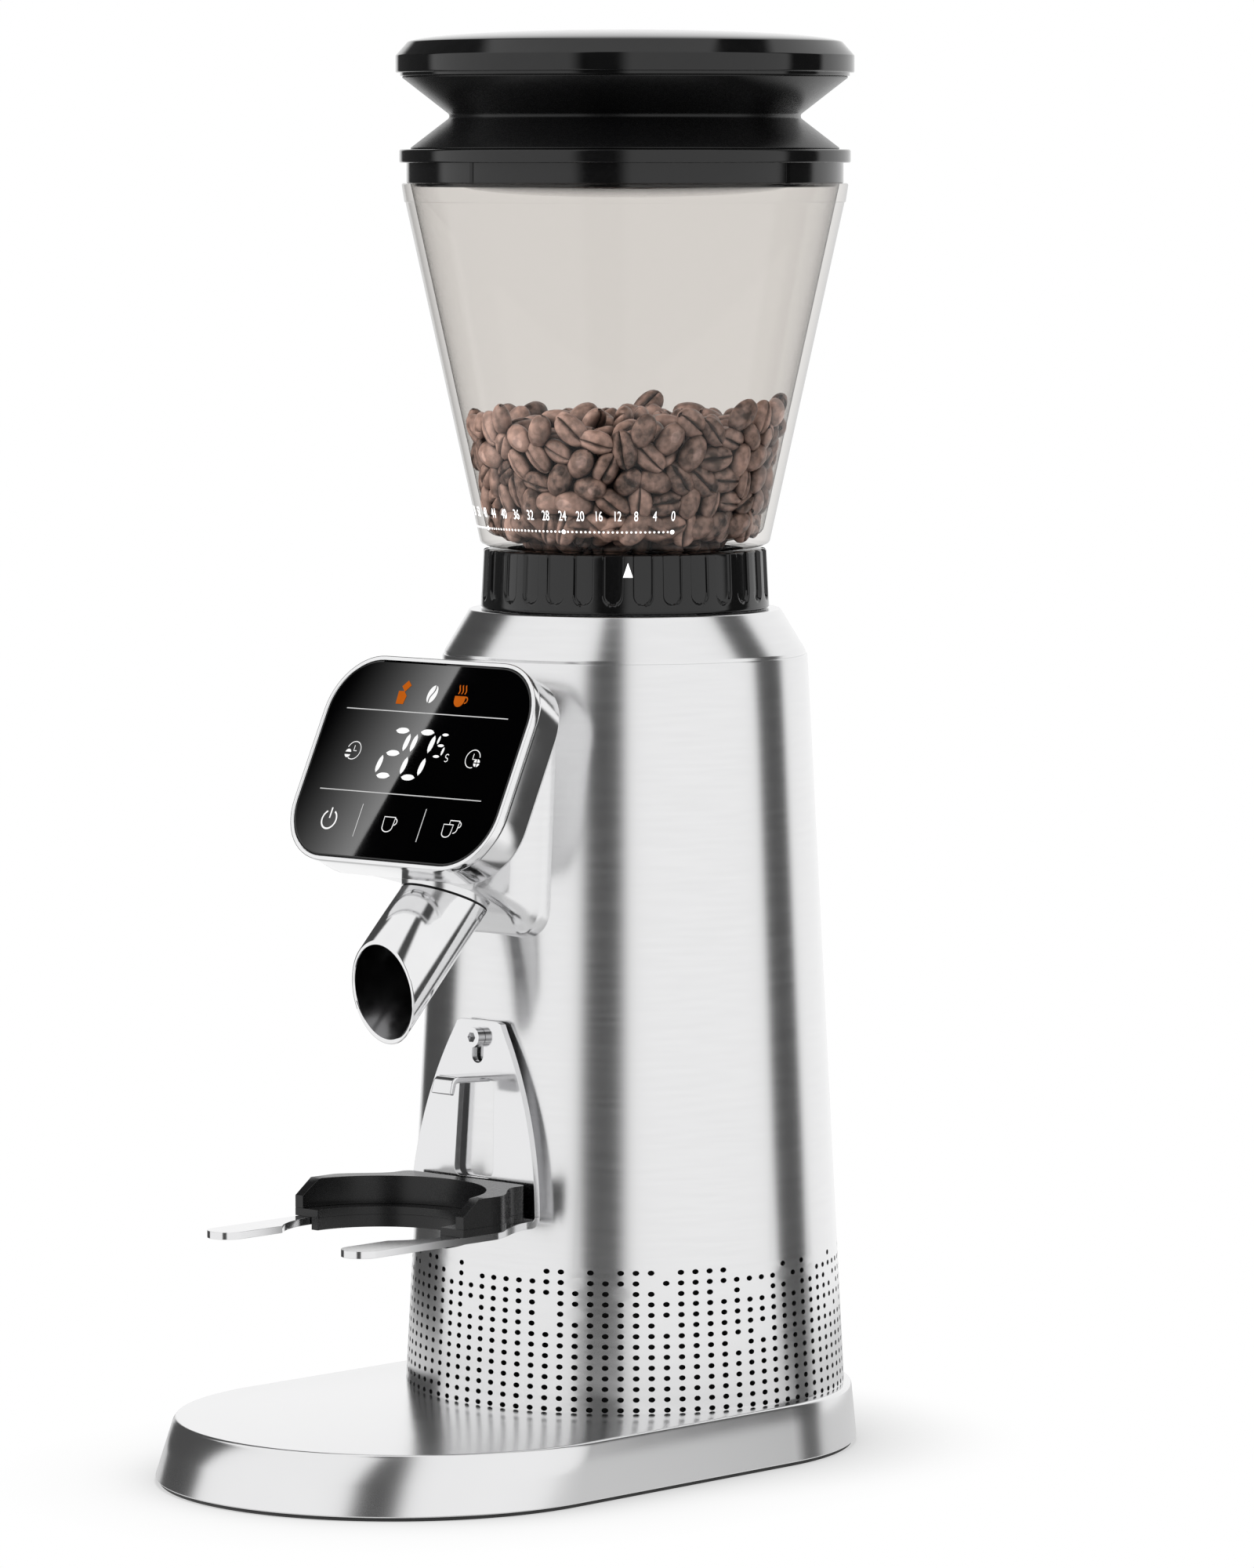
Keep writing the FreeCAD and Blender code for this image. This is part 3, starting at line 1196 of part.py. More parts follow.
def head_shell():
    wall = BEZEL_LIP + GLASS_LEDGE
    tray = panel(0, -HEAD_DEPTH, -BEZEL_DEPTH).cut(panel(wall, head_floor(), -BEZEL_DEPTH))
    floor = head_floor()
    posts = [disc(POST_RADIUS, floor, floor + POST_HEIGHT, x, y) for x, y in head_post_places()]
    tray = fused([tray] + posts)
    sink = floor + POST_HEIGHT
    radius = BOARD_SCREW_RADIUS + PRESS_FIT
    holes = [disc(radius, sink - BOARD_SCREW_BITE, sink, x, y) for x, y in head_post_places()]
    cable = disc(SCREW_BITE, -HEAD_DEPTH, floor)
    tray = tray.cut(Part.makeCompound(holes)).cut(cable)
    return on_head(tray).cut(head_screw_holes())


def control_board():
    floor = head_floor() + POST_HEIGHT
    board = panel(BEZEL_LIP + GLASS_LEDGE + BOARD_MARGIN, floor, floor + BOARD_THICK)
    places = head_post_places()
    holes = [disc(BOARD_SCREW_RADIUS + FIT, floor, floor + BOARD_THICK, x, y) for x, y in places]
    return on_head(board.cut(Part.makeCompound(holes)))


def board_screws():
    floor = head_floor() + POST_HEIGHT
    top = floor + BOARD_THICK
    screws = []
    for x, y in head_post_places():
        shank = disc(BOARD_SCREW_RADIUS, floor - BOARD_SCREW_BITE, top, x, y)
        head = disc(BOARD_SCREW_HEAD, top, top + BOARD_SCREW_HEAD_THICK, x, y)
        screws.append(fused([shank, head]))
    return on_head(Part.makeCompound(screws))


def head_screw_places():
    """Head screws bite into bosses along the neck's side walls."""
    x = NECK_HALF_WIDTH - NECK_WALL - POST_RADIUS / 2
    low = NECK_BOTTOM + NECK_CORNER + SCREW_HEAD_RADIUS
    high = NECK_TOP - NECK_CORNER - SCREW_HEAD_RADIUS
    return [(side * x, y) for side in (-1, 1) for y in (low, high)]


def head_screw_cylinders(radius, z0, z1):
    return [disc(radius, z0, z1, x, y) for x, y in head_screw_places()]


def head_screw_holes():
    radius = BOARD_SCREW_RADIUS + FIT
    holes = head_screw_cylinders(radius, -HEAD_DEPTH - SCREW_BITE, head_floor())
    return on_head(Part.makeCompound(holes))


def head_screws():
    floor = head_floor()
    shanks = head_screw_cylinders(BOARD_SCREW_RADIUS, -HEAD_DEPTH - SCREW_BITE, floor)
    heads = head_screw_cylinders(BOARD_SCREW_HEAD, floor, floor + BOARD_SCREW_HEAD_THICK)
    return on_head(Part.makeCompound([fused([a, b]) for a, b in zip(shanks, heads)]))


def motor_plate():
    plate = disc(MOTOR_PLATE_RADIUS, MOTOR_PLATE_Z, GEARBOX_Z)
    plate = plate.cut(disc(MOTOR_SHAFT_RADIUS + SHAFT_FIT, MOTOR_PLATE_Z, GEARBOX_Z))
    holes = screw_holes(SCREW_COUNT, gearbox_screw_circle(), SCREW_ANGLE, MOTOR_PLATE_Z, GEARBOX_Z, FIT)
    return plate.cut(holes).cut(motor_screw_shapes(FIT))


def motor_screw_circle():
    return (MOTOR_SHAFT_RADIUS + MOTOR_RADIUS) / 2


def motor_screw_shapes(clearance):
    shapes = []
    for x, y in circle_points(2, motor_screw_circle(), 0):
        shank = disc(SCREW_RADIUS + clearance, MOTOR_PLATE_Z - MOTOR_WALL, GEARBOX_Z, x, y)
        head = disc(SCREW_HEAD_RADIUS + clearance, GEARBOX_Z - MOTOR_PLATE_THICK / 2, GEARBOX_Z, x, y)
        shapes.append(fused([shank, head]))
    return Part.makeCompound(shapes)


def motor_can():
    can = disc(MOTOR_RADIUS, MOTOR_Z, MOTOR_PLATE_Z)
    room = disc(MOTOR_RADIUS - MOTOR_WALL, MOTOR_Z, MOTOR_PLATE_Z - MOTOR_WALL)
    shaft_room = disc(MOTOR_SHAFT_RADIUS + RUN_GAP, MOTOR_Z, MOTOR_PLATE_Z)
    reliefs = []
    for x, y in circle_points(SCREW_COUNT, gearbox_screw_circle(), SCREW_ANGLE):
        low = MOTOR_PLATE_Z - SCREW_HEAD_THICK - RUN_GAP
        reliefs.append(disc(SCREW_HEAD_RADIUS + RUN_GAP, low, MOTOR_PLATE_Z, x, y))
    can = can.cut(room).cut(shaft_room).cut(motor_screw_shapes(FIT))
    return can.cut(Part.makeCompound(reliefs))


def motor_screws():
    """Two screws that hold the can to its plate, with flat heads sunk in the plate."""
    return motor_screw_shapes(0)


def motor_end_cap():
    cap = disc(MOTOR_RADIUS, END_CAP_Z, MOTOR_Z)
    vent_circle = (MOTOR_SHAFT_RADIUS + MOTOR_RADIUS) / 2
    vents = [disc(SCREW_HEAD_RADIUS, END_CAP_Z, MOTOR_Z, x, y) for x, y in circle_points(6, vent_circle, 0)]
    cap = cap.cut(Part.makeCompound(vents))
    return cap.cut(disc(MOTOR_SHAFT_RADIUS + SHAFT_FIT, END_CAP_Z, MOTOR_Z))


def motor_shaft():
    return disc(MOTOR_SHAFT_RADIUS, FAN_Z, GEAR_Z + GEAR_WIDTH)


def armature():
    low = MOTOR_Z + ARMATURE_ROOM
    high = MOTOR_PLATE_Z - ARMATURE_ROOM
    core = tube(MOTOR_SHAFT_RADIUS + PRESS_FIT, ARMATURE_RADIUS, low, high)
    half = ARMATURE_SLOT / 2
    slot = block(ARMATURE_RADIUS - ARMATURE_SLOT_DEPTH, ARMATURE_RADIUS + FIT, -half, half, low, high)
    return core.cut(Part.makeCompound(around(slot, SUN_TEETH)))


def cooling_fan():
    hub = disc(FAN_HUB_RADIUS, FAN_Z, FAN_TOP_Z)
    tip = MOTOR_RADIUS - FAN_TIP_INSET
    blade = block(0, tip, -FAN_BLADE_THICK / 2, FAN_BLADE_THICK / 2, FAN_Z, FAN_TOP_Z)
    wheel = fused([hub] + around(blade, FAN_BLADES))
    return wheel.cut(disc(MOTOR_SHAFT_RADIUS + PRESS_FIT, FAN_Z, FAN_TOP_Z))


def board_stand():
    half = BOARD_STAND_WIDTH / 2
    foot = block(
        -half, half, BOARD_STAND_Y - BOARD_STAND_FOOT, BOARD_STAND_Y, DECK_Z, DECK_Z + BOARD_STAND_SHEET
    )
    upright = block(
        -half,
        half,
        BOARD_STAND_Y - BOARD_STAND_SHEET,
        BOARD_STAND_Y,
        DECK_Z,
        DECK_Z + BOARD_STAND_HEIGHT,
    )
    posts = []
    for x, z in power_post_places():
        start = vec(x, BOARD_STAND_Y - FIT, z)
        posts.append(Part.makeCylinder(POST_RADIUS, POWER_BOARD_GAP + FIT, start, vec(0, 1, 0)))
    stand = fused([foot, upright] + posts)
    return stand.cut(stand_screw_cylinders(FIT)).cut(power_screw_cylinders(FIT))


def stand_screw_places():
    y = BOARD_STAND_Y - (BOARD_STAND_FOOT + BOARD_STAND_SHEET) / 2
    return [(side * BOARD_STAND_WIDTH / 3, y) for side in (-1, 1)]


def stand_screw_cylinders(clearance):
    top = DECK_Z + BOARD_STAND_SHEET
    radius = SCREW_RADIUS + clearance
    return Part.makeCompound([disc(radius, DECK_Z - BASE_DECK, top, x, y) for x, y in stand_screw_places()])


def stand_screws():
    bite = BASE_DECK + BOARD_STAND_SHEET
    return Part.makeCompound([screw_up(x, y, DECK_Z - BASE_DECK, bite) for x, y in stand_screw_places()])


def power_screw(x, z, radius, length):
    outer = BOARD_STAND_Y + POWER_BOARD_GAP + BOARD_THICK
    return Part.makeCylinder(radius, length, vec(x, outer, z), vec(0, -1, 0))


def power_screw_cylinders(clearance):
    length = POWER_BOARD_GAP + BOARD_THICK
    radius = BOARD_SCREW_RADIUS + clearance
    return Part.makeCompound([power_screw(x, z, radius, length) for x, z in power_post_places()])


def power_screws():
    length = POWER_BOARD_GAP + BOARD_THICK
    screws = []
    for x, z in power_post_places():
        head = power_screw(x, z, BOARD_SCREW_HEAD, BOARD_SCREW_HEAD_THICK)
        head.translate(vec(0, BOARD_SCREW_HEAD_THICK, 0))
        screws.append(fused([power_screw(x, z, BOARD_SCREW_RADIUS, length), head]))
    return Part.makeCompound(screws)


def power_post_places():
    half = BOARD_STAND_WIDTH / 2 - 2 * POST_RADIUS
    middle = DECK_Z + BODY_FLANGE_THICK + POWER_BOARD_DROP + BOARD_STAND_HEIGHT / 2
    reach = BOARD_STAND_HEIGHT / 2 - POWER_BOARD_DROP - 4 * POST_RADIUS
    return [(side * half, middle + up * reach) for side in (-1, 1) for up in (-1, 1)]


def power_board():
    half = BOARD_STAND_WIDTH / 2
    face = BOARD_STAND_Y + POWER_BOARD_GAP
    back = face + BOARD_THICK
    low = DECK_Z + BODY_FLANGE_THICK + POWER_BOARD_DROP
    high = low + BOARD_STAND_HEIGHT - 2 * POWER_BOARD_DROP
    board = block(-half, half, face, back, low, high)
    outward = vec(0, 1, 0)
    capacitors = []
    for side in (-1, 1):
        start = vec(side * half / 4, back - FIT, high - 2 * CAPACITOR_RADIUS)
        capacitors.append(Part.makeCylinder(CAPACITOR_RADIUS, CAPACITOR_LENGTH, start, outward))
    middle = (low + high) / 2
    side = RELAY_SIDE / 2
    relay = block(-side, side, back - FIT, back + RELAY_HEIGHT, middle - side, middle + side)
    return fused([board, relay] + capacitors).cut(power_screw_cylinders(FIT))


def gland_centre():
    z = DECK_Z + GLAND_RISE
    return z, body_radius(z)


def gland_hole():
    z, radius = gland_centre()
    inner = vec(0, radius - GLAND_TAIL, z)
    return Part.makeCylinder(GLAND_RADIUS + FIT, 2 * GLAND_TAIL, inner, vec(0, 1, 0))


def cord_gland():
    z, radius = gland_centre()
    outward = vec(0, 1, 0)
    inner = vec(0, radius - GLAND_TAIL, z)
    tail = Part.makeCylinder(GLAND_RADIUS, GLAND_TAIL + GLAND_FLANGE, inner, outward)
    seat = vec(0, radius - GLAND_FLANGE, z)
    flange = Part.makeCylinder(GLAND_FLANGE_RADIUS, 2 * GLAND_FLANGE, seat, outward)
    flange = flange.cut(body_cone(FIT))
    bore = Part.makeCylinder(GLAND_BORE, 4 * GLAND_TAIL, vec(0, radius - 2 * GLAND_TAIL, z), outward)
    return fused([tail, flange]).cut(bore)


def plate_edge():
    """Right-hand edge of the bracket's plate: a long arc that leans in to a rounded top corner."""
    top = PLATE_RISE
    corner = PLATE_TOP_CORNER
    return [
        (PLATE_HALF_WIDTH, 0, 0),
        (PLATE_MID_HALF_WIDTH, PLATE_MID_RISE, 0),
        (PLATE_TOP_HALF_WIDTH + corner, top - corner, 0),
        (PLATE_TOP_HALF_WIDTH, top, 0),
    ]


def s_curve(start, end):
    """Two equal arcs that leave the start and reach the end along Y."""
    rise = (end[0] - start[0]) / 2
    run = (end[1] - start[1]) / 2
    bend = (rise**2 + run**2) / (2 * rise)
    half_turn = math.asin(abs(run / bend)) / 2
    across = bend * (1 - math.cos(half_turn))
    along = math.copysign(bend * math.sin(half_turn), run)
    z = start[2]
    middle = (start[0] + rise, start[1] + run, z)
    first = (start[0] + across, start[1] + along, z)
    second = (end[0] - across, end[1] - along, z)
    return [arc(start, first, middle), arc(middle, second, end)]


def mirrored(point):
    return (-point[0], point[1], point[2])


def bracket_plate():
    foot, middle, shoulder, top = plate_edge()
    low = (PLATE_HALF_WIDTH, -SHEET, 0)
    edges = [
        line(low, foot),
        arc(foot, middle, shoulder),
        line(shoulder, top),
        line(top, mirrored(top)),
        line(mirrored(top), mirrored(shoulder)),
        arc(mirrored(shoulder), mirrored(middle), mirrored(foot)),
        line(mirrored(foot), mirrored(low)),
        line(mirrored(low), low),
    ]
    plate = prism(edges, SHEET)
    hatch_top = HOOK_RISE
    hatch = polygon_face(
        [
            (-HATCH_BOTTOM_HALF, HATCH_BOTTOM),
            (HATCH_BOTTOM_HALF, HATCH_BOTTOM),
            (HATCH_TOP_HALF, hatch_top),
            (-HATCH_TOP_HALF, hatch_top),
        ]
    ).extrude(vec(0, 0, SHEET))
    hatch = hatch.makeFillet(HATCH_CORNER, upright_edges(hatch))
    slot = bracket_slot(SLOT_HALF_WIDTH, 0, SHEET)
    hook = block(
        -HOOK_WIDTH / 2, HOOK_WIDTH / 2, HOOK_RISE - SHEET, HOOK_RISE, 0, SHEET + HOOK_REACH
    )
    hook_lip = block(
        -HOOK_WIDTH / 2, HOOK_WIDTH / 2, HOOK_RISE - HOOK_LIP, HOOK_RISE, HOOK_REACH, SHEET + HOOK_REACH
    )
    bent = fused([plate.cut(hatch).cut(slot), hook, hook_lip])
    bent.translate(vec(0, 0, BRACKET_GAP))
    return on_bracket(bent)


def upright_edges(shape):
    found = []
    for edge in shape.Edges:
        ends = edge.Vertexes
        if abs(ends[0].X - ends[1].X) < FIT and abs(ends[0].Y - ends[1].Y) < FIT:
            found.append(edge)
    return found


def bracket_slot(half_width, z0, z1):
    """Slot in the plate: the hanger screw sits at its top end."""
    top = PLATE_RISE - SLOT_TOP_DROP
    bottom = top - SLOT_DROP + SLOT_HALF_WIDTH
    shapes = [
        disc(half_width, z0, z1, 0, top),
        disc(half_width, z0, z1, 0, bottom),
        block(-half_width, half_width, bottom, top, z0, z1),
    ]
    return fused(shapes)


def fork_rear():
    """Front face of the bracket's plate at the fork, as a y value."""
    return -body_radius(FORK_TOP_Z) - BRACKET_GAP - SHEET


def fork_plate():
    z = FORK_TOP_Z - SHEET
    rear = fork_rear() + SHEET
    tip = fork_rear() - PRONG_TIP
    half = PRONG_WIDTH / 2
    inner = PRONG_CENTRE - half
    outer = PRONG_CENTRE + half
    start = fork_rear() - FORK_FLARE_START
    end = fork_rear() - FORK_FLARE_END
    round_y = tip + half
    gap_y = tip + PRONG_WIDTH
    waist = (PLATE_HALF_WIDTH, start, z)
    flare = (outer, end, z)
    edges = [
        line((-PLATE_HALF_WIDTH, rear, z), (PLATE_HALF_WIDTH, rear, z)),
        line((PLATE_HALF_WIDTH, rear, z), waist),
        *s_curve(waist, flare),
        line(flare, (outer, round_y, z)),
        arc((outer, round_y, z), (PRONG_CENTRE, tip, z), (inner, round_y, z)),
        line((inner, round_y, z), (inner, gap_y, z)),
        line((inner, gap_y, z), (-inner, gap_y, z)),
        line((-inner, gap_y, z), (-inner, round_y, z)),
        arc((-inner, round_y, z), (-PRONG_CENTRE, tip, z), (-outer, round_y, z)),
        line((-outer, round_y, z), mirrored(flare)),
        *s_curve(mirrored(flare), mirrored(waist)),
        line(mirrored(waist), (-PLATE_HALF_WIDTH, rear, z)),
    ]
    plate = prism(edges, SHEET)
    well = disc(FORK_CIRCLE, z, FORK_TOP_Z, 0, recess_y())
    throat = block(-inner, inner, gap_y - SHEET, recess_y(), z, FORK_TOP_Z)
    return plate.cut(well).cut(throat).cut(cradle_screw_cylinders(CRADLE_SCREW_RADIUS + FIT))


def fork_bracket():
    return fused([bracket_plate(), fork_plate().cut(body_cone(BRACKET_GAP))])


def recess_y():
    """Middle of the cradle's round recess."""
    return fork_rear() - CRADLE_REACH


def hanger_hole():
    z = -HANGER_THREAD_LENGTH
    return disc(HANGER_THREAD_RADIUS + PRESS_FIT, z, 0, 0, PLATE_RISE - SLOT_TOP_DROP)


def bracket_screw():
    y = PLATE_RISE - SLOT_TOP_DROP
    shoulder_top = BRACKET_GAP + SHEET + FIT
    thread = disc(HANGER_THREAD_RADIUS, -HANGER_THREAD_LENGTH, 0, 0, y)
    shoulder = disc(HANGER_RADIUS, 0, shoulder_top, 0, y)
    head_top = shoulder_top + HANGER_HEAD_THICK
    head = disc(HANGER_HEAD_RADIUS, shoulder_top, head_top, 0, y)
    corners = list(circle_points(6, HANGER_SOCKET / math.cos(math.pi / 6), 0))
    socket = polygon_face(corners, head_top - HANGER_SOCKET_DEPTH).extrude(vec(0, 0, HANGER_SOCKET_DEPTH))
    socket.translate(vec(0, y, 0))
    return on_bracket(fused([thread, shoulder, head]).cut(socket))


def cradle_screw_places():
    y = fork_rear() - CRADLE_REAR_GAP - CRADLE_SCREW_RUN
    return [(side * CRADLE_SCREW_X, y) for side in (-1, 1)]


def cradle_screw_cylinders(radius):
    low = FORK_TOP_Z - SHEET
    shapes = [disc(radius, low, FORK_TOP_Z + CRADLE_SCREW_BITE, x, y) for x, y in cradle_screw_places()]
    return Part.makeCompound(shapes)


def cradle_screws():
    low = FORK_TOP_Z - SHEET
    screws = []
    for x, y in cradle_screw_places():
        shank = disc(CRADLE_SCREW_RADIUS, low, FORK_TOP_Z + CRADLE_SCREW_BITE, x, y)
        head = disc(CRADLE_SCREW_HEAD, low - CRADLE_SCREW_HEAD_THICK, low, x, y)
        screws.append(fused([shank, head]))
    return Part.makeCompound(screws)


def cradle_rest():
    low = FORK_TOP_Z
    high = FORK_TOP_Z + CRADLE_HEIGHT
    rear = fork_rear() - CRADLE_REAR_GAP
    front = recess_y()
    corner = (CRADLE_REAR_HALF, rear, low)
    waist = (CRADLE_REAR_HALF, rear - CRADLE_STRAIGHT, low)
    flare = (CRADLE_HALF_WIDTH, rear - CRADLE_FLARE, low)
    horn = (CRADLE_HALF_WIDTH, front, low)
    edges = [
        line(mirrored(corner), corner),
        line(corner, waist),
        *s_curve(waist, flare),
        line(flare, horn),
        line(horn, mirrored(horn)),
        line(mirrored(horn), mirrored(flare)),
        *s_curve(mirrored(flare), mirrored(waist)),
        line(mirrored(waist), mirrored(corner)),
    ]
    rest = prism(edges, CRADLE_HEIGHT)
    lip = disc(FORK_CIRCLE - RUN_GAP, low - LIP_DROP, low, 0, front)
    lip = lip.common(block(-FORK_CIRCLE, FORK_CIRCLE, front, rear, low - LIP_DROP, low))
    seat = disc(RECESS_RADIUS, low + LEDGE_RISE, high, 0, front)
    well = disc(LEDGE_RADIUS, low - LIP_DROP, high, 0, front)
    slope = Part.Face(
        Part.makePolygon(
            [
                vec(-BEYOND, front, high - HORN_CHAMFER_RISE),
                vec(-BEYOND, front + HORN_CHAMFER_RUN, high),
                vec(-BEYOND, front, high),
                vec(-BEYOND, front, high - HORN_CHAMFER_RISE),
            ]
        )
    ).extrude(vec(2 * BEYOND, 0, 0))
    shaped = fused([rest, lip]).cut(seat).cut(well).cut(slope)
    return shaped.cut(cradle_screw_cylinders(CRADLE_SCREW_RADIUS + PRESS_FIT))


NODES = {
    "foot_pad": foot_pad,
    "base_shell": base_shell,
    "base_plate": base_plate,
    "base_screws": base_screws,
    "body_shell": body_shell,
    "shoulder_collar": shoulder_collar,
    "grind_chamber": grind_chamber,
    "chamber_screws": chamber_screws,
    "upper_bearing": upper_bearing,
    "lower_bearing": lower_bearing,
    "gearbox_housing": gearbox_housing,
    "gearbox_screws": gearbox_screws,
    "motor_plate": motor_plate,
    "motor_can": motor_can,
    "motor_screws": motor_screws,
    "motor_end_cap": motor_end_cap,
    "neck_housing": neck_housing,
    "neck_screws": neck_screws,
    "head_shell": head_shell,
    "head_screws": head_screws,
    "bezel_frame": bezel_frame,
    "touch_glass": touch_glass,
    "control_board": control_board,
    "board_screws": board_screws,
    "spout_tube": spout_tube,
    "grounds_chute": grounds_chute,
    "board_stand": board_stand,
    "stand_screws": stand_screws,
    "power_board": power_board,
    "power_screws": power_screws,
    "cord_gland": cord_gland,
    "bracket_screw": bracket_screw,
    "adjusting_ring": adjusting_ring,
    "ring_clip": ring_clip,
    "burr_carrier": burr_carrier,
    "outer_burr": outer_burr,
    "burr_screws": burr_screws,
    "inner_burr": inner_burr,
    "burr_nut": burr_nut,
    "sweeper": sweeper,
    "burr_shaft": burr_shaft,
    "planet_carrier": planet_carrier,
    "sun_gear": sun_gear,
    "motor_shaft": motor_shaft,
    "armature": armature,
    "cooling_fan": cooling_fan,
    "hopper": hopper,
    "lid_ring": lid_ring,
    "bellows": bellows,
    "lid_cap": lid_cap,
    "fork_bracket": fork_bracket,
    "cradle_rest": cradle_rest,
    "cradle_screws": cradle_screws,
}


def main():
    os.makedirs("parts", exist_ok=True)
    for name, make in NODES.items():
        make().exportStep(f"parts/{name}.step")
    for index in range(PLANET_COUNT):
        planet_gear(index).exportStep(f"parts/planet_gear_{index + 1}.step")


main()
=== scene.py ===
import math
import random

import bmesh
import bpy
import numpy as np
from bpy.props import FloatProperty, FloatVectorProperty, IntProperty, PointerProperty
from bpy.types import NodeSocket, Operator, Panel, PropertyGroup
from mathutils import Matrix, Vector
from mathutils.geometry import tessellate_polygon


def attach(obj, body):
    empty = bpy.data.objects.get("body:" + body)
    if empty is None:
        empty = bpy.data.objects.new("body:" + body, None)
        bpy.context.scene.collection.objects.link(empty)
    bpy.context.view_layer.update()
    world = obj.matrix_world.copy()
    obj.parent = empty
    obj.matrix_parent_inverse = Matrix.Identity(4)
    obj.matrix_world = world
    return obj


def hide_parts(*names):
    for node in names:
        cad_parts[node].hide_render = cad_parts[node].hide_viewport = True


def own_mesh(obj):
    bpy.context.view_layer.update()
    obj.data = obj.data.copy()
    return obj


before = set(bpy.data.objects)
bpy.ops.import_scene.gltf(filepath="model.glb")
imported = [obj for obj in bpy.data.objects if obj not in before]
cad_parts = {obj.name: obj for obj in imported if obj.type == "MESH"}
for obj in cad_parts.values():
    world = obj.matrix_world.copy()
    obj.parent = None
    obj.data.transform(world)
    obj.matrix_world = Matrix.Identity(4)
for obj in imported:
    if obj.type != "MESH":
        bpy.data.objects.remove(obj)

bl_info = {
    "name": "Burr coffee grinder",
    "version": (1, 0, 0),
    "blender": (4, 5, 0),
    "location": "3D View > Sidebar > Grinder",
    "description": "Dresses the packed burr coffee grinder and sets its studio",
    "category": "Object",
}

MM = 0.001
TURN = 2 * math.pi
QUARTER = math.pi / 2

# Rounding takes up to this share of a side and passes over corners that are straight but for this angle.
FILLET_LIMIT = 0.49
NEARLY_STRAIGHT = 0.01

# Distances in metres below which points are one and edges vanish, and how sharp edges are rounded.
MERGE, SLIVER = 1e-6, 1e-7
EDGE_STEPS, EDGE_ANGLE = 3, math.radians(40)

# Lengths below are in millimetres. X runs to the right, -Y to the front and Z up.
# A line to be turned lists radius, height and the rounding of that corner.

# Base: foot and flat top; at each the radius and the centres of the rear and the front half circle.
BASE_LOW = 1.1
BASE_TOP = 17.0
BASE_FOOT = (67.14, -2.65, -89.9)
BASE_RIM = (66.45, -3.9, -83.6)
BASE_INSET = 0.35

# Body cone up to the seam under the collar, its top edge, the walls of its holes and a dark sheet of painted
# shade behind them.
BODY_FOOT_RADIUS = 61.8
BODY_TOP = 222.1
BODY_TOP_RADIUS = 51.1
BODY_MOUTH = 49.2
TOP_EDGE = 0.5
TOP_CREASE = 0.12
HOLES_SUNK = 0.6
HOLE_WALL = 1.2
HOLE_POINTS = 12
CELL_RIM = ((0, 0), (1, 0), (2, 0), (3, 0), (3, 1), (3, 2), (3, 3), (2, 3), (1, 3), (0, 3), (0, 2), (0, 1))
OPEN_SHARE = (1.0, 1.0, 1.0, 1.0, 1.0, 0.99, 0.98, 0.97, 0.95, 0.94, 0.92, 0.88, 0.8, 0.38)
SHADE_SHEET_GAP = 1.9
SHADE_SHEET_HEIGHTS = (BASE_TOP, 40.0, 64.0)
COLLAR = ((49.0, 221.4, 0), (50.55, 221.4, 0), (50.55, 222.9, 0.7), (43.5, 234.6, 0.7), (38.3, 234.6, 0.3),
          (38.3, 229.5, 0), (40.7, 229.5, 0), (40.7, 221.4, 0))

# Adjusting ring: its tapered side, where the flutes begin, and the pointer.
RING_LOW = 234.9
RING_HEIGHT = 16.5
RING_RADIUS = 40.4
RING_TAPER = 0.8
RING_FOOT = [(34.5, RING_LOW), (39.9, RING_LOW), (40.35, 235.3)]
RING_SIDE = (*np.arange(236.0, 242.1, 0.4), 244.0, 247.0, 250.0, 250.9)
RING_TOP = [(39.35, 251.25), (38.9, 251.4), (33.0, 251.4), (33.0, 250.0), (34.5, 250.0)]
SIDE_RADIUS = 38.8
SIDE_LOW = 236
FLUTE_FOOT = 237.5
FLUTE_BLEND = 0.5
FLUTE_SPILL = 0.15
POINTER_AZIMUTH = math.radians(44.3)
POINTER = ((-1.35, 245.3), (1.35, 245.3), (0.0, 249.3))
PRINT_LIFT = 0.06

# Hopper: foot and top of its wall, outside and inside, and the scale printed on it.
HOPPER_FOOT = 255.6
HOPPER_TOP = 347.9
OUTER_FOOT, OUTER_TOP = 41.0, 61.2
INNER_FOOT, INNER_TOP = 38.5, 58.7
HOPPER_BORE = 27.7
HOPPER = ((30.2, 241.4, 0.3), (30.2, 252.0, 0), (37.8, 252.0, 1.0), (40.4, 253.0, 1.5),
          (OUTER_FOOT, HOPPER_FOOT, 1.5), (OUTER_TOP, HOPPER_TOP, 0.3), (61.5, HOPPER_TOP, 0.3),
          (62.3, 353.1, 0.5), (59.8, 353.1, 0.4), (INNER_TOP, HOPPER_TOP, 0.4),
          (INNER_FOOT, HOPPER_FOOT, 3.0), (HOPPER_BORE, 253.25, 1.0), (HOPPER_BORE, 241.4, 0.3))
SCALE_MARKS = 61
SCALE_START = 61.3
SCALE_STEP = 1.753
SCALE_LIFT = 0.08
DOT_Z, DOT_POINTS = 257.8, 14
DOT_RADIUS, BIG_DOT_RADIUS = 0.3, 0.62
BIG_DOTS = (0, 24, 48)
DIGIT_EVERY, DIGIT_Z, DIGIT_SQUEEZE = 4, 260.9, 0.62

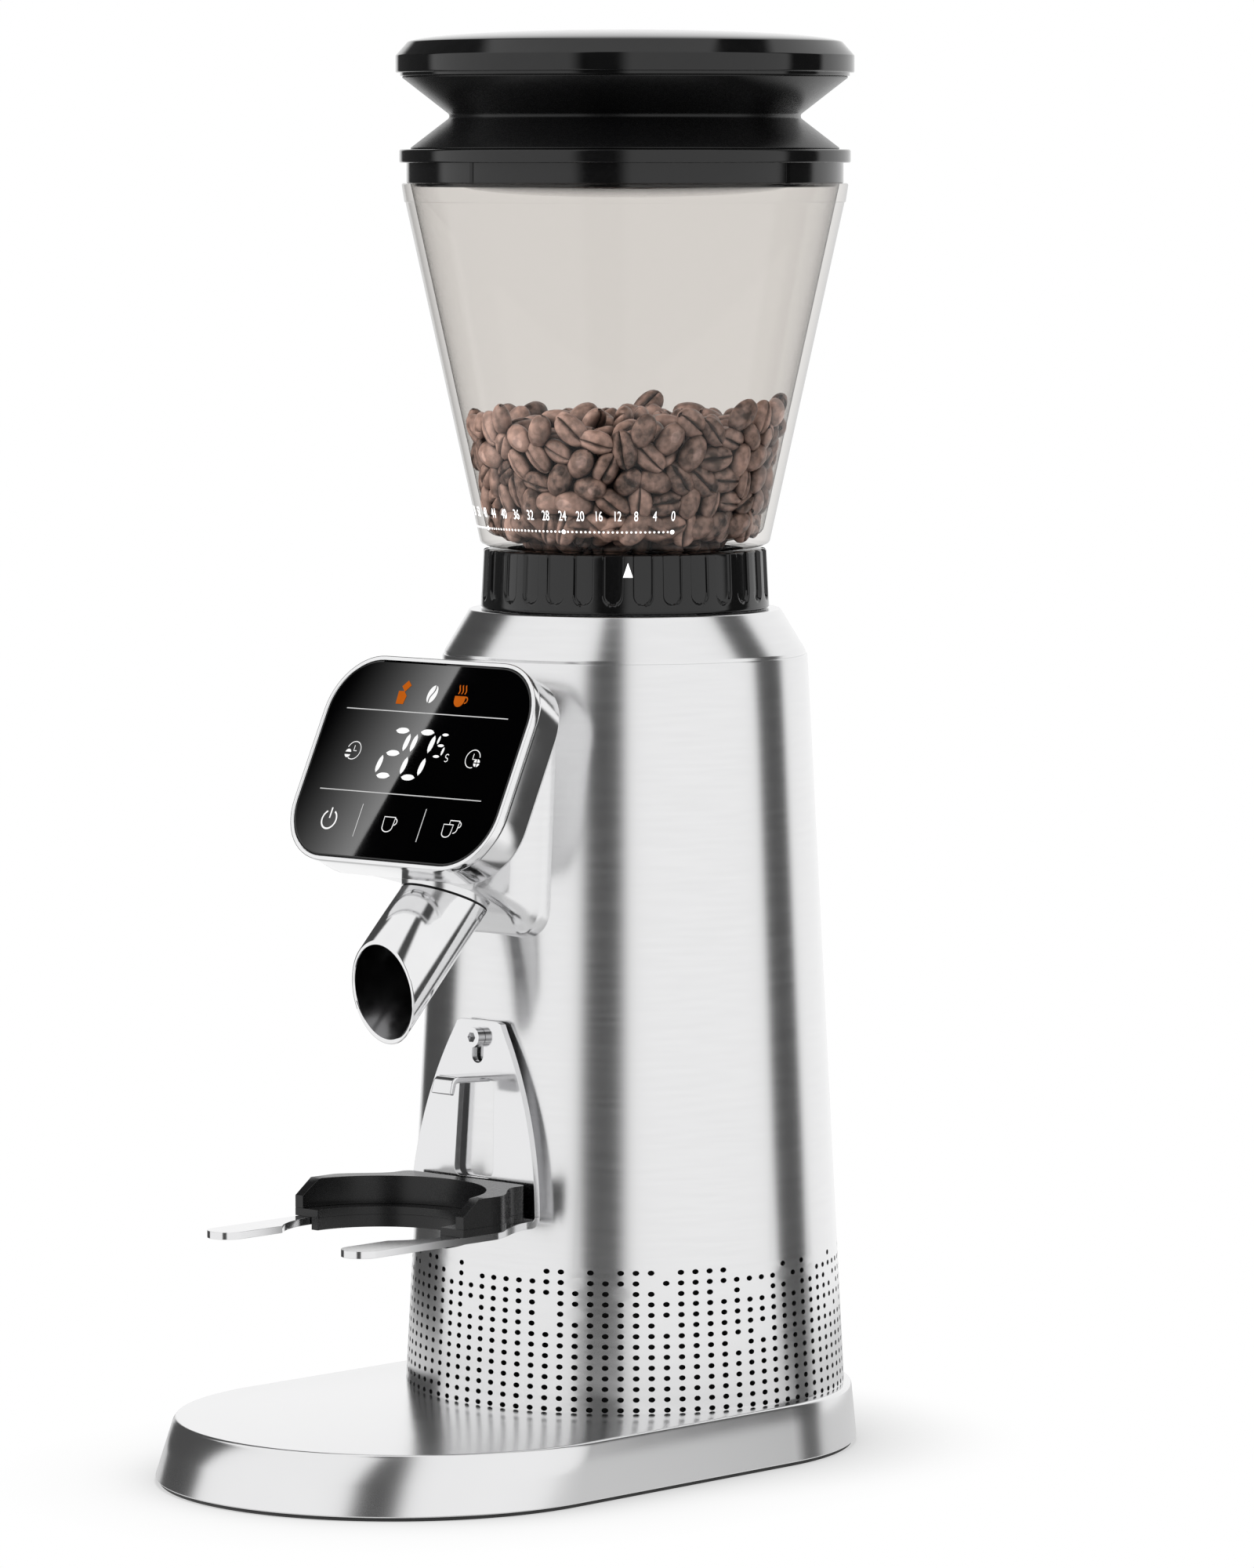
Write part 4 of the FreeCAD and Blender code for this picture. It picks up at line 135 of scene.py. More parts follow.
# Bean: its section, half an egg with a creased flat side, and the shares of its length.
BEAN_SECTION = [(math.cos(a), math.sin(a)) for a in np.linspace(0, math.pi, 10)] + [
    (-0.86, -0.42), (-0.55, -0.7), (-0.28, -0.8), (-0.13, -0.72), (0.0, -0.12), (0.13, -0.72), (0.28, -0.8),
    (0.55, -0.7), (0.86, -0.42)]
CREASE_POINTS = (13, 14, 15)
CREASE_DEEPEST = 14
CREASE_BOW = 0.22
BEAN_RINGS = 11
BEAN_WIDTH, BEAN_BACK, BEAN_FLAT = 0.69, 0.60, 0.48
BEAN_SWELL = 0.85
BEAN_WALL_RISE, BEAN_WALL_LEAN = 0.2189, 0.21
BEAN_NEAR_WALL = 0.55
BEAN_UPWARD, BEAN_TILT = 0.9, 0.35
BEAN_GROWTH = (0.9, 1.06)
# Painted shade in the crease: darkening at its deepest point and at its sides.
CREASE_DEEPEST_PAINTED_SHADE, CREASE_SIDE_PAINTED_SHADE = -0.75, -0.2
FLAT_SIDE_HIDDEN = 0.62

# Pouring: balls of a share of the bean's length start in a column, fall, settle and push each other apart
# over the hopper's floor and its bore.
BEAN_PACK = 0.37
POUR_LOW, POUR_HEIGHT = 258, 110
POUR_STEPS, SETTLE_STEP = 280, 220
FALL, SETTLE_FALL = 1.2, 0.25
NEIGHBOUR_EVERY, NEIGHBOUR_REACH = 4, 5
PUSH = 0.35
WALL_SHARE, FLOOR_SHARE = 0.8, 0.9
FLOOR_FROM, FLOOR_Z, FLOOR_RISE, BORE_FLOOR = 26, 253.6, 0.2, 243.0
TINY = 1e-9

# Lid: ring with four notches, bowed underside, bellows, and the cap with its dome.
LID_RING = ((56.9, 352.1, 0.3), (58.9, 352.1, 0.4), (59.2, 353.1, 0), (60.9, 353.1, 0.4), (60.9, 358.8, 0),
            (62.9, 358.8, 0.5), (62.9, 362.5, 0.6), (56.9, 362.5, 0.3))
NOTCH_RADII, NOTCH_HEIGHTS, NOTCH = (60, 61.2), (353.0, 358.9), 0.8
LID_FLOOR_Z, LID_FLOOR_RADIUS, LID_FLOOR_BOW, LID_FLOOR_EDGE = 352.6, 46.0, 3.4, 57.2
BELLOWS = ((56.7, 362.5, 0.2), (60.3, 362.5, 0.3), (48.3, 371.7, 1.0), (62.6, 382.8, 0.3), (59.0, 382.8, 0.2),
           (46.5, 371.7, 1.0))
CAP_RIM = ((0.0, 382.8, 0), (62.6, 382.8, 0.2), (62.6, 383.7, 0), (63.9, 383.7, 0.5), (63.9, 388.5, 0.5),
           (60.6, 392.2, 0))
DOME_RADIUS, DOME_Z, DOME_RISE, DOME_START = 61.0, 391.8, 3.8, 0.12

# Head: centre of the panel and its lean back. Each ring of a skin has an inset and a depth.
HEAD_Y = -85.2
HEAD_Z = 196.5
HEAD_LEAN = math.radians(26)
PANEL_CENTRE = Vector((0, HEAD_Y, HEAD_Z)) * MM
PANEL_NORMAL = Vector((0, -math.cos(HEAD_LEAN), math.sin(HEAD_LEAN)))
BEZEL_RINGS = ((0.0, 2.0), (0.0, 0.4), (0.08, 0.14), (0.22, 0.03), (0.4, 0.0), (1.0, 0.0), (1.2, 0.06),
               (1.3, 0.25), (1.3, 2.0))
SHELL_RINGS = ((1.3, 2.0), (0.05, 2.0), (0.05, 2.2), (0.35, 2.4), (0.5, 2.8), (0.5, 3.4), (0.35, 10.9),
               (0.42, 11.3), (0.62, 11.7), (0.95, 12.05), (1.4, 12.3))
SHELL_BACK_INSETS = (2.0, 6.0)
GLASS_RINGS = ((1.4, 2.0), (1.4, 0.45), (1.55, 0.25), (1.9, 0.2))
GLASS_DEPTH = 0.2
SIGN_DEPTH = 0.14

# Signs: line ends as shares of the panel's width and height, and stroke widths.
PANEL_LINES = ((0.108, 0.265, 0.886, 0.265), (0.108, 0.66, 0.886, 0.66),
               (0.3405, 0.718, 0.3405, 0.877), (0.6455, 0.718, 0.6455, 0.877))
LINE_WIDTH = 0.28
CLOCK_WIDTH = 0.24
BACK_CUP_WIDTH = 0.32
BOLD_WIDTH = 0.5
WARM_WIDTH = 0.4
DIGIT_LEAN = 0.14
BEAN_SIGN = (1.75, 2.6)

# Neck: its outline on the head, and how it grows into the saddle as it nears the body.
NECK_HALF, NECK_LOW, NECK_HIGH, NECK_CORNER = 15.5, -27.0, 22.0, 4.0
NECK_WAIST = 25.0
NECK_REACH = (10.0, 60.0)
SADDLE = ((0.0, 10.5), (0.12, 8.8), (0.4, 7.2), (0.9, 5.8), (1.6, 4.6), (2.5, 3.7), (3.3, 3.1), (3.8, 2.7),
          (4.0, 2.2), (4.0, -0.2))

# Spout: its axis, the height where the tube turns forward, the stub's top and the lean of the mouth.
SPOUT_Y = -72.3
MITRE_Z = 158.0
STUB_TOP = 180.0
MITRE = math.radians(22.5)
MOUTH_LEAN = math.radians(9)
SPOUT_POINTS = 96
SEAM_INSET = 0.3

# Rings along the tube, outside then inside: inset from that wall, whether at the mouth, and how far back.
TUBE_OUTSIDE = ((SEAM_INSET, False, 0.22), (0.0, False, 0.45), (0.0, True, 0.3), (0.2, True, 0.06),
                (0.5, True, 0.0))
TUBE_INSIDE = ((-0.2, True, 0.06), (0.0, True, 0.4))

# Bracket: where the plate's inner face meets the fork's top, its lean along the body, and its outline.
BRACKET_Y = -59.02
BRACKET_Z = 70.2
BRACKET_LEAN = math.radians(2.986)
BRACKET_GAP = 0.7
BEND = 1.0
PLATE_HALF = 24.0
PLATE_SIDE = ((PLATE_HALF, BEND), (20.2, 24.6), (9.4, 50.6))
PLATE_TOP = [(9.4, 50.6), (8.4, 52.6), (6.8, 53.2)]
SLOT_LOW, SLOT_HIGH, SLOT_RADIUS = 43.5, 48.5, 2.1
WINDOW = ((-7.5, 9.8, 2.6), (7.5, 9.8, 2.6), (6.5, 37.4, 1.0), (-6.5, 37.4, 1.0))

# Fork: centre and radius of its gap, its outer side, and the round ends of its two arms.
FORK_Y = -98.2
FORK_GAP = 26.3
FORK_SIDE = ((PLATE_HALF, -64.7), (31.3, -85.7))
ARM_X, ARM_INNER, ARM_HALF, ARM_TIP = 25.8, 20.3, 5.5, -135.9

# Hook on the plate: height, distance from the plate and rounding along it.
HOOK = ((38.2, BRACKET_GAP + 0.2, 0), (38.2, BRACKET_GAP + 15.0, 2.6), (33.4, BRACKET_GAP + 16.2, 0))
HOOK_HALF, HOOK_THICK, HOOK_EDGE = 3.8, 1.8, 0.5

# Cradle: ledge and top, the slope over its front ends, radii of its recess and its lip, and its outline.
CRADLE_LEDGE, CRADLE_TOP = 72.4, 80.2
SLOPE_RUN, SLOPE_RISE = 6.0, 4.4
RECESS, CRADLE_BORE = 29.4, 23.6
LIP_RADIUS, LIP_LOW = 26.0, 66.8
FLOOR_EDGE = 0.3
CRADLE_REAR = ((0.0, -63.5, 0), (22.9, -63.5, 2.4), (22.9, -68.5, 0))
CRADLE_SIDE = ((22.9, -68.5), (32.4, -84.5))
HORN_X, HORN_REAR = 32.4, -88.0

# View from the right of the front. Dark strips around it: centre, half width and blur in degrees.
# Mirrors lose sight of the floor between two distances, in metres.
VIEW_AZIMUTH = math.radians(43.13)
DARK_STRIPS = ((-12.5, 12.0, 4.5), (103.5, 13.0, 3.0), (-138.0, 24.0, 4.0))
STRIP_LIGHT, WORLD_LIGHT = 0.065, 1.03
ZENITH = (0.88, 0.97)
FLOOR_STRIP = (107.0, 8.0, 3.0)
FLOOR_STRIP_LIGHT, FLOOR_SHEEN = 0.1, 0.70
FLOOR_NEAR, FLOOR_FAR = 0.24, 0.36

# Card mirrored in the cover glass, in metres, and the lamps: azimuth from the view, height, size, power.
CARD_HALF, CARD_AWAY = 0.056, 0.2
CARD_SLANT, CARD_EDGE, CARD_FADE = 0.168, -0.0068, 0.028
CARD_LIGHT = 4.1
GLASS_SPREAD = 0.09
LAMPS = {"key": (-70, 0.9, 0.9, 30.0), "fill": (60, 1.1, 1.0, 5.0)}
LAMP_REACH, LAMP_TARGET = 1.1, 0.22

# Finishes: colour, roughness and metal; then the grain's fineness, its share in roughness, relief and tone,
# the strength of the sheen, and how far the grain is stretched along each axis.
FINISHES = {
    "satin_steel": ((0.78, 0.78, 0.785), 0.19, 1.0, 60, 0.010, 0.001, 0.015, 0.5, (1, 1, 12)),
    "base_steel": ((0.79, 0.79, 0.795), 0.19, 1.0, 60, 0.008, 0.001, 0.008),
    "bright_steel": ((0.82, 0.82, 0.825), 0.10, 1.0, 140, 0.015, 0.002, 0.015),
    # The spout's bore: its steel darkened as painted shade inside the tube.
    "bore_steel": ((0.20, 0.20, 0.205), 0.22, 1.0, 200, 0.04, 0.01, 0.1),
    "fork_steel": ((0.80, 0.80, 0.80), 0.24, 1.0, 80, 0.06, 0.01, 0.03, 0.5, (30, 1, 1)),
    "dark_plastic": ((0.0022, 0.0022, 0.0024), 0.27, 0.0, 900, 0.02, 0.004, 0.1, 0.42),
    "ring_plastic": ((0.0018, 0.0018, 0.0019), 0.11, 0.0, 900, 0.02, 0.008, 0.2),
    "gloss_plastic": ((0.0018, 0.0018, 0.0019), 0.07, 0.0, 300, 0.02, 0.004, 0.2),
    "soft_rubber": ((0.0015, 0.0015, 0.0016), 0.27, 0.0, 700, 0.02, 0.002, 0.1, 0.32),
    # Dark sheet of painted shade behind the body's holes, and the spout's dark seam.
    "dark_inside": ((0.002, 0.002, 0.002), 0.6, 0.0, 400, 0.06, 0.03, 0.3, 0.2),
    "black_glass": ((0.0003, 0.0003, 0.00035), 0.03, 0.0, 50, 0.01, 0.0, 0.1),
    "pad_rubber": ((0.012, 0.012, 0.012), 0.6),
    "screw_steel": ((0.62, 0.62, 0.63), 0.3, 1.0),
    "burr_steel": ((0.55, 0.55, 0.56), 0.34, 1.0),
    "cast_alloy": ((0.5, 0.5, 0.51), 0.45, 1.0),
    "motor_paint": ((0.05, 0.055, 0.06), 0.5),
    "inner_plastic": ((0.03, 0.03, 0.03), 0.5),
    "plain_steel": ((0.45, 0.45, 0.46), 0.42, 1.0),
    "circuit_board": ((0.02, 0.09, 0.045), 0.45),
}

# Range of the grain that counts, the smoothest polish, and the depth of the grain's relief in metres.
GRAIN_RANGE = (0.3, 0.7)
SMOOTHEST = 0.02
GRAIN_RELIEF = 0.0002

# Clear hopper: tint, its share edge on, how narrow the edge is, its index, waviness and roughness.
HOPPER_TINT, HOPPER_EDGE_SHARE = (0.905, 0.893, 0.880), 0.45
HOPPER_EDGE, HOPPER_IOR, HOPPER_GRAIN, HOPPER_ROUGH = 8.0, 1.32, 25, (0.02, 0.06)

# Beans: roasted colours, the darker one also standing for the painted shade in creases and gaps, fineness of
# the grain, roughness and relief.
BEAN_DARK_AND_SHADE, BEAN_LIGHT = (0.016, 0.010, 0.008), (0.46, 0.305, 0.255)
BEAN_GRAIN, BEAN_ROUGH, BEAN_RELIEF = 420, (0.30, 0.46), (0.35, 0.0003)

# Lit marks, and printed marks that glow as painted light: colour, glow strength and the colour of their
# surface.
LIT_BODY = (0.001, 0.001, 0.001)
GLOW_GRAIN = 400
GLOWS = {
    "white_print": ((1, 1, 1), 0.75, (0.8, 0.8, 0.8)),
    "lit_white": ((1, 1, 1), 1.0, LIT_BODY),
    "lit_line": ((1, 1, 1), 0.62, LIT_BODY),
    "lit_orange": ((0.50, 0.105, 0.005), 1.0, LIT_BODY),
}

# Finishes of the pieces that keep the shape they have.
INNER_FINISHES = {
    "fork_steel": ("bracket_screw",),
    "dark_plastic": ("cord_gland",),
    "pad_rubber": ("foot_pad",),
    "screw_steel": ("base_screws", "chamber_screws", "gearbox_screws", "motor_screws", "neck_screws",
                    "head_screws", "board_screws", "stand_screws", "power_screws", "burr_screws",
                    "cradle_screws", "burr_nut", "ring_clip"),
    "burr_steel": ("outer_burr", "inner_burr", "burr_shaft", "motor_shaft", "sun_gear", "planet_gear_1",
                   "planet_gear_2", "planet_gear_3", "planet_carrier", "upper_bearing", "lower_bearing"),
    "cast_alloy": ("grind_chamber", "gearbox_housing", "motor_plate", "burr_carrier", "motor_end_cap"),
    "motor_paint": ("motor_can", "armature"),
    "inner_plastic": ("sweeper", "cooling_fan", "grounds_chute"),
    "plain_steel": ("base_plate", "board_stand"),
    "circuit_board": ("control_board", "power_board"),
}


def length(label, size, text):
    """A length shown in the sidebar, given in millimetres."""
    return FloatProperty(name=label, description=text, default=size * MM, min=0.0, unit="LENGTH", precision=4)


def count(label, number, text):
    """A whole number shown in the sidebar."""
    return IntProperty(name=label, description=text, default=number, min=1)


def share(label, value, text):
    """A share from 0 to 1 shown in the sidebar."""
    return FloatProperty(name=label, description=text, default=value, min=0.0, max=1.0, subtype="FACTOR")


def paint(label, value, text):
    """A colour shown in the sidebar."""
    return FloatVectorProperty(name=label, description=text, default=value, min=0.0, max=1.0, precision=4,
                               subtype="COLOR")


def mm(value):
    """Metres from the sidebar as millimetres."""
    return value / MM


# Shapes


def fillet(corners, steps=5, closed=False):
    """Rounds the corners of a flat line; each corner comes with its own radius."""
    out = []
    last = len(corners) - 1
    for i, (x, y, radius) in enumerate(corners):
        if radius <= 0 or (not closed and i in (0, last)):
            out.append((x, y))
            continue
        corner = Vector((x, y))
        before = Vector(corners[i - 1][:2]) - corner
        after = Vector(corners[(i + 1) % len(corners)][:2]) - corner
        limit = FILLET_LIMIT * min(before.length, after.length)
        before.normalize()
        after.normalize()
        half = before.angle(after) / 2
        if half > QUARTER - NEARLY_STRAIGHT:
            out.append((x, y))
            continue
        reach = min(radius / math.tan(half), limit)
        centre = corner + (before + after).normalized() * (reach / math.cos(half))
        start = corner + before * reach - centre
        end = corner + after * reach - centre
        turn = math.atan2(start.x * end.y - start.y * end.x, start.dot(end))
        for k in range(steps + 1):
            a = turn * k / steps
            x = start.x * math.cos(a) - start.y * math.sin(a)
            y = start.x * math.sin(a) + start.y * math.cos(a)
            out.append((centre.x + x, centre.y + y))
    return out


def polar(radius, azimuth, z):
    """A point at an azimuth counted from the front towards the right."""
    return (radius * math.sin(azimuth), -radius * math.cos(azimuth), z)


def lathe(profile, segments, closed=False):
    """Turns a line of radii and heights about the upright axis."""
    rows = len(profile)
    verts = [polar(r, TURN * i / segments, z) for i in range(segments) for r, z in profile]
    faces = []
    for i in range(segments):
        j = (i + 1) % segments
        for k in range(rows if closed else rows - 1):
            n = (k + 1) % rows
            faces.append((i * rows + k, j * rows + k, j * rows + n, i * rows + n))
    return verts, faces


def turned(corners, segments):
    """Turns a closed line with rounded corners."""
    return lathe(fillet(corners, closed=True), segments, True)


def drawn_in(x, y, cut):
    """A point moved towards the upright axis."""
    keep = 1 - cut / math.hypot(x, y)
    return x * keep, y * keep


def bridge(rings, first_cap=False, last_cap=False):
    """Joins closed rings of equally many points, with a cap at either end."""
    size = len(rings[0])
    verts = [p for ring in rings for p in ring]
    faces = []
    for k in range(len(rings) - 1):
        for i in range(size):
            j = (i + 1) % size
            faces.append((k * size + i, k * size + j, (k + 1) * size + j, (k + 1) * size + i))
    if first_cap:
        faces.append(tuple(range(size)))
    if last_cap:
        faces.append(tuple((len(rings) - 1) * size + i for i in range(size)))
    return verts, faces


def filled(*loops):
    """A filled outline; further loops are holes."""
    triangles = tessellate_polygon([[Vector((x, y, 0)) for x, y in loop] for loop in loops])
    return [p for loop in loops for p in loop], [tuple(t) for t in triangles]


def upright(x, y, z):
    """Plain placing of a flat outline at a height."""
    return (x, y, z)


def prism(loops, low, high, place=upright):
    """A plate between two heights: the first loop is its outline, the others are holes."""
    flat, triangles = filled(*loops)
    total = len(flat)
    verts = [place(x, y, z) for z in (low, high) for x, y in flat]
    faces = triangles + [tuple(i + total for i in t) for t in triangles]
    start = 0
    for loop in loops:
        size = len(loop)
        for i in range(size):
            a = start + i
            b = start + (i + 1) % size
            faces.append((a, b, b + total, a + total))
        start += size
    return verts, faces


def joined(*meshes):
    """Several meshes as one list of points and one of faces."""
    verts = []
    faces = []
    for more_verts, more_faces in meshes:
        start = len(verts)
        verts.extend(more_verts)
        faces.extend(tuple(i + start for i in face) for face in more_faces)
    return verts, faces


def mirrored(points):
    """A closed outline from its half at positive x, listed from the rear to the front."""
    return list(points) + [(-x, y) for x, y in reversed(points) if abs(x) > MERGE]


def arc(x, y, radius, start, end, steps=28, squeeze=1.0):
    """Points along a part of a circle, with angles in degrees."""
    out = []
    for k in range(steps + 1):
        a = math.radians(start + (end - start) * k / steps)
        out.append((x + radius * math.cos(a), y + squeeze * radius * math.sin(a)))
    return out


def rounded_box(half_width, low, high, corner):
    """A rounded outline, counted from the right side, with equally many points at each corner."""
    left, right = -half_width + corner, half_width - corner
    out = []
    for quarter, (x, y) in enumerate(((right, high - corner), (left, high - corner), (left, low + corner),
                                      (right, low + corner))):
        out += arc(x, y, corner, 90 * quarter, 90 * quarter + 90, 14)
    return out


def smooth(t):
    """A share that starts and ends softly."""
    t = min(1.0, max(0.0, t))
    return t * t * (3 - 2 * t)


def between(first, last, t):
    """The numbers a share of the way from one row to another."""
    return tuple(a + (b - a) * t for a, b in zip(first, last))


def show(name, data):
    """An object in the scene for a mesh, a lamp or the camera."""
    obj = bpy.data.objects.new(name, data)
    bpy.context.scene.collection.objects.link(obj)
    return obj


def square(name, half, material):
    """A flat square about its own centre."""
    mesh = bpy.data.meshes.new(name)
    corners = [(-half, -half, 0), (half, -half, 0), (half, half, 0), (-half, half, 0)]
    mesh.from_pydata(corners, [], [(0, 1, 2, 3)])
    mesh.materials.append(material)
    return show(name, mesh)


def add_mesh(name, shape, material, body, nodes=(), crease=32.0, bevel=0.0):
    """Makes one piece, which rides on a body and stands for the nodes it covers."""
    verts, faces = shape
    mesh = bpy.data.meshes.new(name)
    work = bmesh.new()
    points = [work.verts.new(Vector(v) * MM) for v in verts]
    for face in faces:
        work.faces.new([points[i] for i in face])
    bmesh.ops.remove_doubles(work, verts=work.verts, dist=MERGE)
    bmesh.ops.dissolve_degenerate(work, edges=work.edges, dist=SLIVER)
    bmesh.ops.recalc_face_normals(work, faces=work.faces)
    work.to_mesh(mesh)
    work.free()
    mesh.shade_smooth()
    mesh.set_sharp_from_angle(angle=math.radians(crease))
    mesh.materials.append(look(material))
    obj = show(name, mesh)
    if bevel:
        soften = obj.modifiers.new("Edges", "BEVEL")
        soften.width = bevel * MM
        soften.segments = EDGE_STEPS
        soften.limit_method = "ANGLE"
        soften.angle_limit = EDGE_ANGLE
        soften.harden_normals = True
    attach(obj, body)
    if nodes:
        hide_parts(*nodes)
    return obj


# Materials


class Nodes:
    """A tree of nodes built step by step; an input takes a value or another node's output."""

    def __init__(self, tree):
        self.tree = tree
        tree.nodes.clear()

    def add(self, kind, inputs=None, **options):
        """A node with its options and inputs."""
        node = self.tree.nodes.new("ShaderNode" + kind)
        for key, value in options.items():
            setattr(node, key, value)
        for key, value in (inputs or {}).items():
            if isinstance(value, NodeSocket):
                self.tree.links.new(value, node.inputs[key])
            else:
                node.inputs[key].default_value = value
        return node

    def math(self, operation, *values):
        """The result of a sum."""
        return self.add("Math", dict(enumerate(values)), operation=operation).outputs[0]

    def ramp(self, value, low, high, to_low, to_high, soft=False):
        """A value carried from one range to another."""
        inputs = {"Value": value, "From Min": low, "From Max": high, "To Min": to_low, "To Max": to_high}
        kind = "SMOOTHSTEP" if soft else "LINEAR"
        return self.add("MapRange", inputs, interpolation_type=kind).outputs["Result"]

    def grained(self, grain, low, high):
        """A value that follows the grain."""
        return self.ramp(grain, *GRAIN_RANGE, low, high)

    def split(self, vector):
        """The three parts of a vector."""
        return self.add("SeparateXYZ", {0: vector}).outputs

    def noise(self, scale, detail=2.0, grain=None):
        """Grain laid over the piece, stretched where asked."""
        place = self.add("TexCoord").outputs["Object"]
        if grain:
            place = self.add("Mapping", {"Vector": place, "Scale": grain}).outputs["Vector"]
        return self.add("TexNoise", {"Vector": place, "Scale": scale, "Detail": detail}).outputs["Fac"]

    def blend(self, factor, first, second):
        """A colour between two colours."""
        inputs = {"Factor": factor, "A": (*first, 1), "B": (*second, 1)}
        return self.add("Mix", inputs, data_type="RGBA").outputs["Result"]

    def relief(self, height, strength, distance):
        """Small relief from a height."""
        inputs = {"Height": height, "Strength": strength, "Distance": distance}
        return self.add("Bump", inputs).outputs["Normal"]

    def emission(self, strength):
        """Light of a given strength."""
        return self.add("Emission", {"Strength": strength}).outputs[0]

    def clear(self):
        """Nothing at all."""
        return self.add("BsdfTransparent").outputs[0]

    def mix(self, factor, first, second):
        """One surface over another."""
        return self.add("MixShader", {0: factor, 1: first, 2: second}).outputs[0]

    def surface(self, shader):
        """The surface that shows."""
        self.add("OutputMaterial", {"Surface": shader})

    def principled(self, **inputs):
        """The surface that shows, from its inputs by name."""
        named = {key.replace("_", " "): value for key, value in inputs.items()}
        self.surface(self.add("BsdfPrincipled", named).outputs[0])


def new_material(name):
    """A bare material and its nodes."""
    material = bpy.data.materials.new(name)
    material.use_nodes = True
    return material, Nodes(material.node_tree)


def finish(name, colour, rough, metal=0.0, scale=300, spread=0.06, bump=0.05, tone=0.1, specular=0.5,
           grain=(1, 1, 1)):
    """An opaque finish with grain in its roughness, tone and surface."""
    material, nodes = new_material(name)
    grainy = nodes.noise(scale, 6.0, grain)
    darker = [c * (1 - tone) for c in colour]
    lighter = [min(1, c * (1 + tone)) for c in colour]
    nodes.principled(
        Base_Color=nodes.blend(nodes.grained(grainy, 0.0, 1.0), darker, lighter),
        Roughness=nodes.grained(grainy, max(SMOOTHEST, rough - spread), rough + spread),
        Metallic=metal, Specular_IOR_Level=specular, Normal=nodes.relief(grainy, bump, GRAIN_RELIEF))
    return material


def glow(name, colour, strength, body):
    """A glowing mark with a slightly uneven tone: a lit sign, or a print whose glow is painted light."""
    material, nodes = new_material(name)
    uneven = nodes.grained(nodes.noise(GLOW_GRAIN), 0.94 * strength, 1.06 * strength)
    nodes.principled(Base_Color=(*body, 1), Roughness=0.4, Specular_IOR_Level=0.0,
                     Emission_Color=(*colour, 1), Emission_Strength=uneven)
    return material


def clear_plastic(name):
    """Clear thin plastic with a warm tint, a sheen and a faint waviness."""
    material, nodes = new_material(name)
    facing = nodes.add("LayerWeight", {"Blend": 0.5}).outputs["Facing"]
    face_on = settings().colours.hopper_tint
    edge_on = [c * HOPPER_EDGE_SHARE for c in face_on]
    tint = nodes.blend(nodes.math("POWER", facing, HOPPER_EDGE), face_on, edge_on)
    through = nodes.add("BsdfTransparent", {"Color": tint}).outputs[0]
    wavy = nodes.grained(nodes.noise(HOPPER_GRAIN), *HOPPER_ROUGH)
    sheen = nodes.add("BsdfGlossy", {"Roughness": wavy}).outputs[0]
    edge = nodes.add("Fresnel", {"IOR": HOPPER_IOR}).outputs[0]
    outside = nodes.math("SUBTRACT", 1.0, nodes.add("NewGeometry").outputs["Backfacing"])
    nodes.surface(nodes.mix(nodes.math("MULTIPLY", edge, outside), through, sheen))
    return material


def bean_finish(name):
    """Roasted brown, a different tone for each bean, with painted shade in the creases and in the gaps
    between beans.
    """
    material, nodes = new_material(name)
    grainy = nodes.noise(BEAN_GRAIN, 5)
    # The tone attribute carries each bean's own tone and the painted shade of its crease.
    tone = nodes.math("MULTIPLY", nodes.add("Attribute", attribute_name="tone").outputs["Fac"], 0.5)
    toned = nodes.math("ADD", tone, nodes.ramp(grainy, 0.36, 0.68, 0.0, 0.55))
    # Painted shade: ambient occlusion darkens the colour where beans crowd each other.
    gap_painted_shade = nodes.add("AmbientOcclusion", {"Distance": 0.006}, samples=8, only_local=True).outputs["AO"]
    light = nodes.math("MULTIPLY", toned, nodes.ramp(gap_painted_shade, 0.2, 0.95, 0.0, 1.0))
    colours = settings().colours
    nodes.principled(
        Base_Color=nodes.blend(light, colours.bean_dark, colours.bean_light),
        Roughness=nodes.grained(grainy, *BEAN_ROUGH), Normal=nodes.relief(grainy, *BEAN_RELIEF))
    return material


def look(name):
    """The finish of that name, made when it is first asked for; the sidebar's colour comes first."""
    found = bpy.data.materials.get(name)
    if found:
        return found
    for make, rows in ((finish, FINISHES), (glow, GLOWS)):
        if name in rows:
            colour, *values = rows[name]
            return make(name, getattr(settings().colours, name, colour), *values)
    return {"clear_plastic": clear_plastic, "roasted_bean": bean_finish}[name](name)


# Settings


class BodySettings(PropertyGroup):
    """Base, body, collar and adjusting ring."""
    base_edge: length("Base edge", 1.0, "Rounding along the top edge of the base")
    hole_width: length("Hole width", 1.9, "Width of one ventilation hole")
    hole_height: length("Hole height", 1.45, "Height of one ventilation hole")
    hole_pitch: length("Row pitch", 2.9, "Height of one row of holes")
    columns: count("Columns", 90, "Holes around the body")
    rows: count("Rows", 14, "Rows of holes")
    flutes: count("Flutes", 30, "Finger flutes around the adjusting ring")
    flute_width: length("Flute width", 5.4, "Width of one flute")
    flute_depth: length("Flute depth", 0.9, "Depth of one flute")


class HopperSettings(PropertyGroup):
    """Hopper, beans and lid."""
    beans: count("Beans", 720, "Beans poured into the hopper")
    bean_length: length("Bean length", 10.6, "Length of one bean")
    digit_height: length("Digit height", 2.7, "Height of the numbers on the scale")
    bellows_keep: share("Bellows left", 0.507, "Share of the bellows' height left when the cap is pressed")


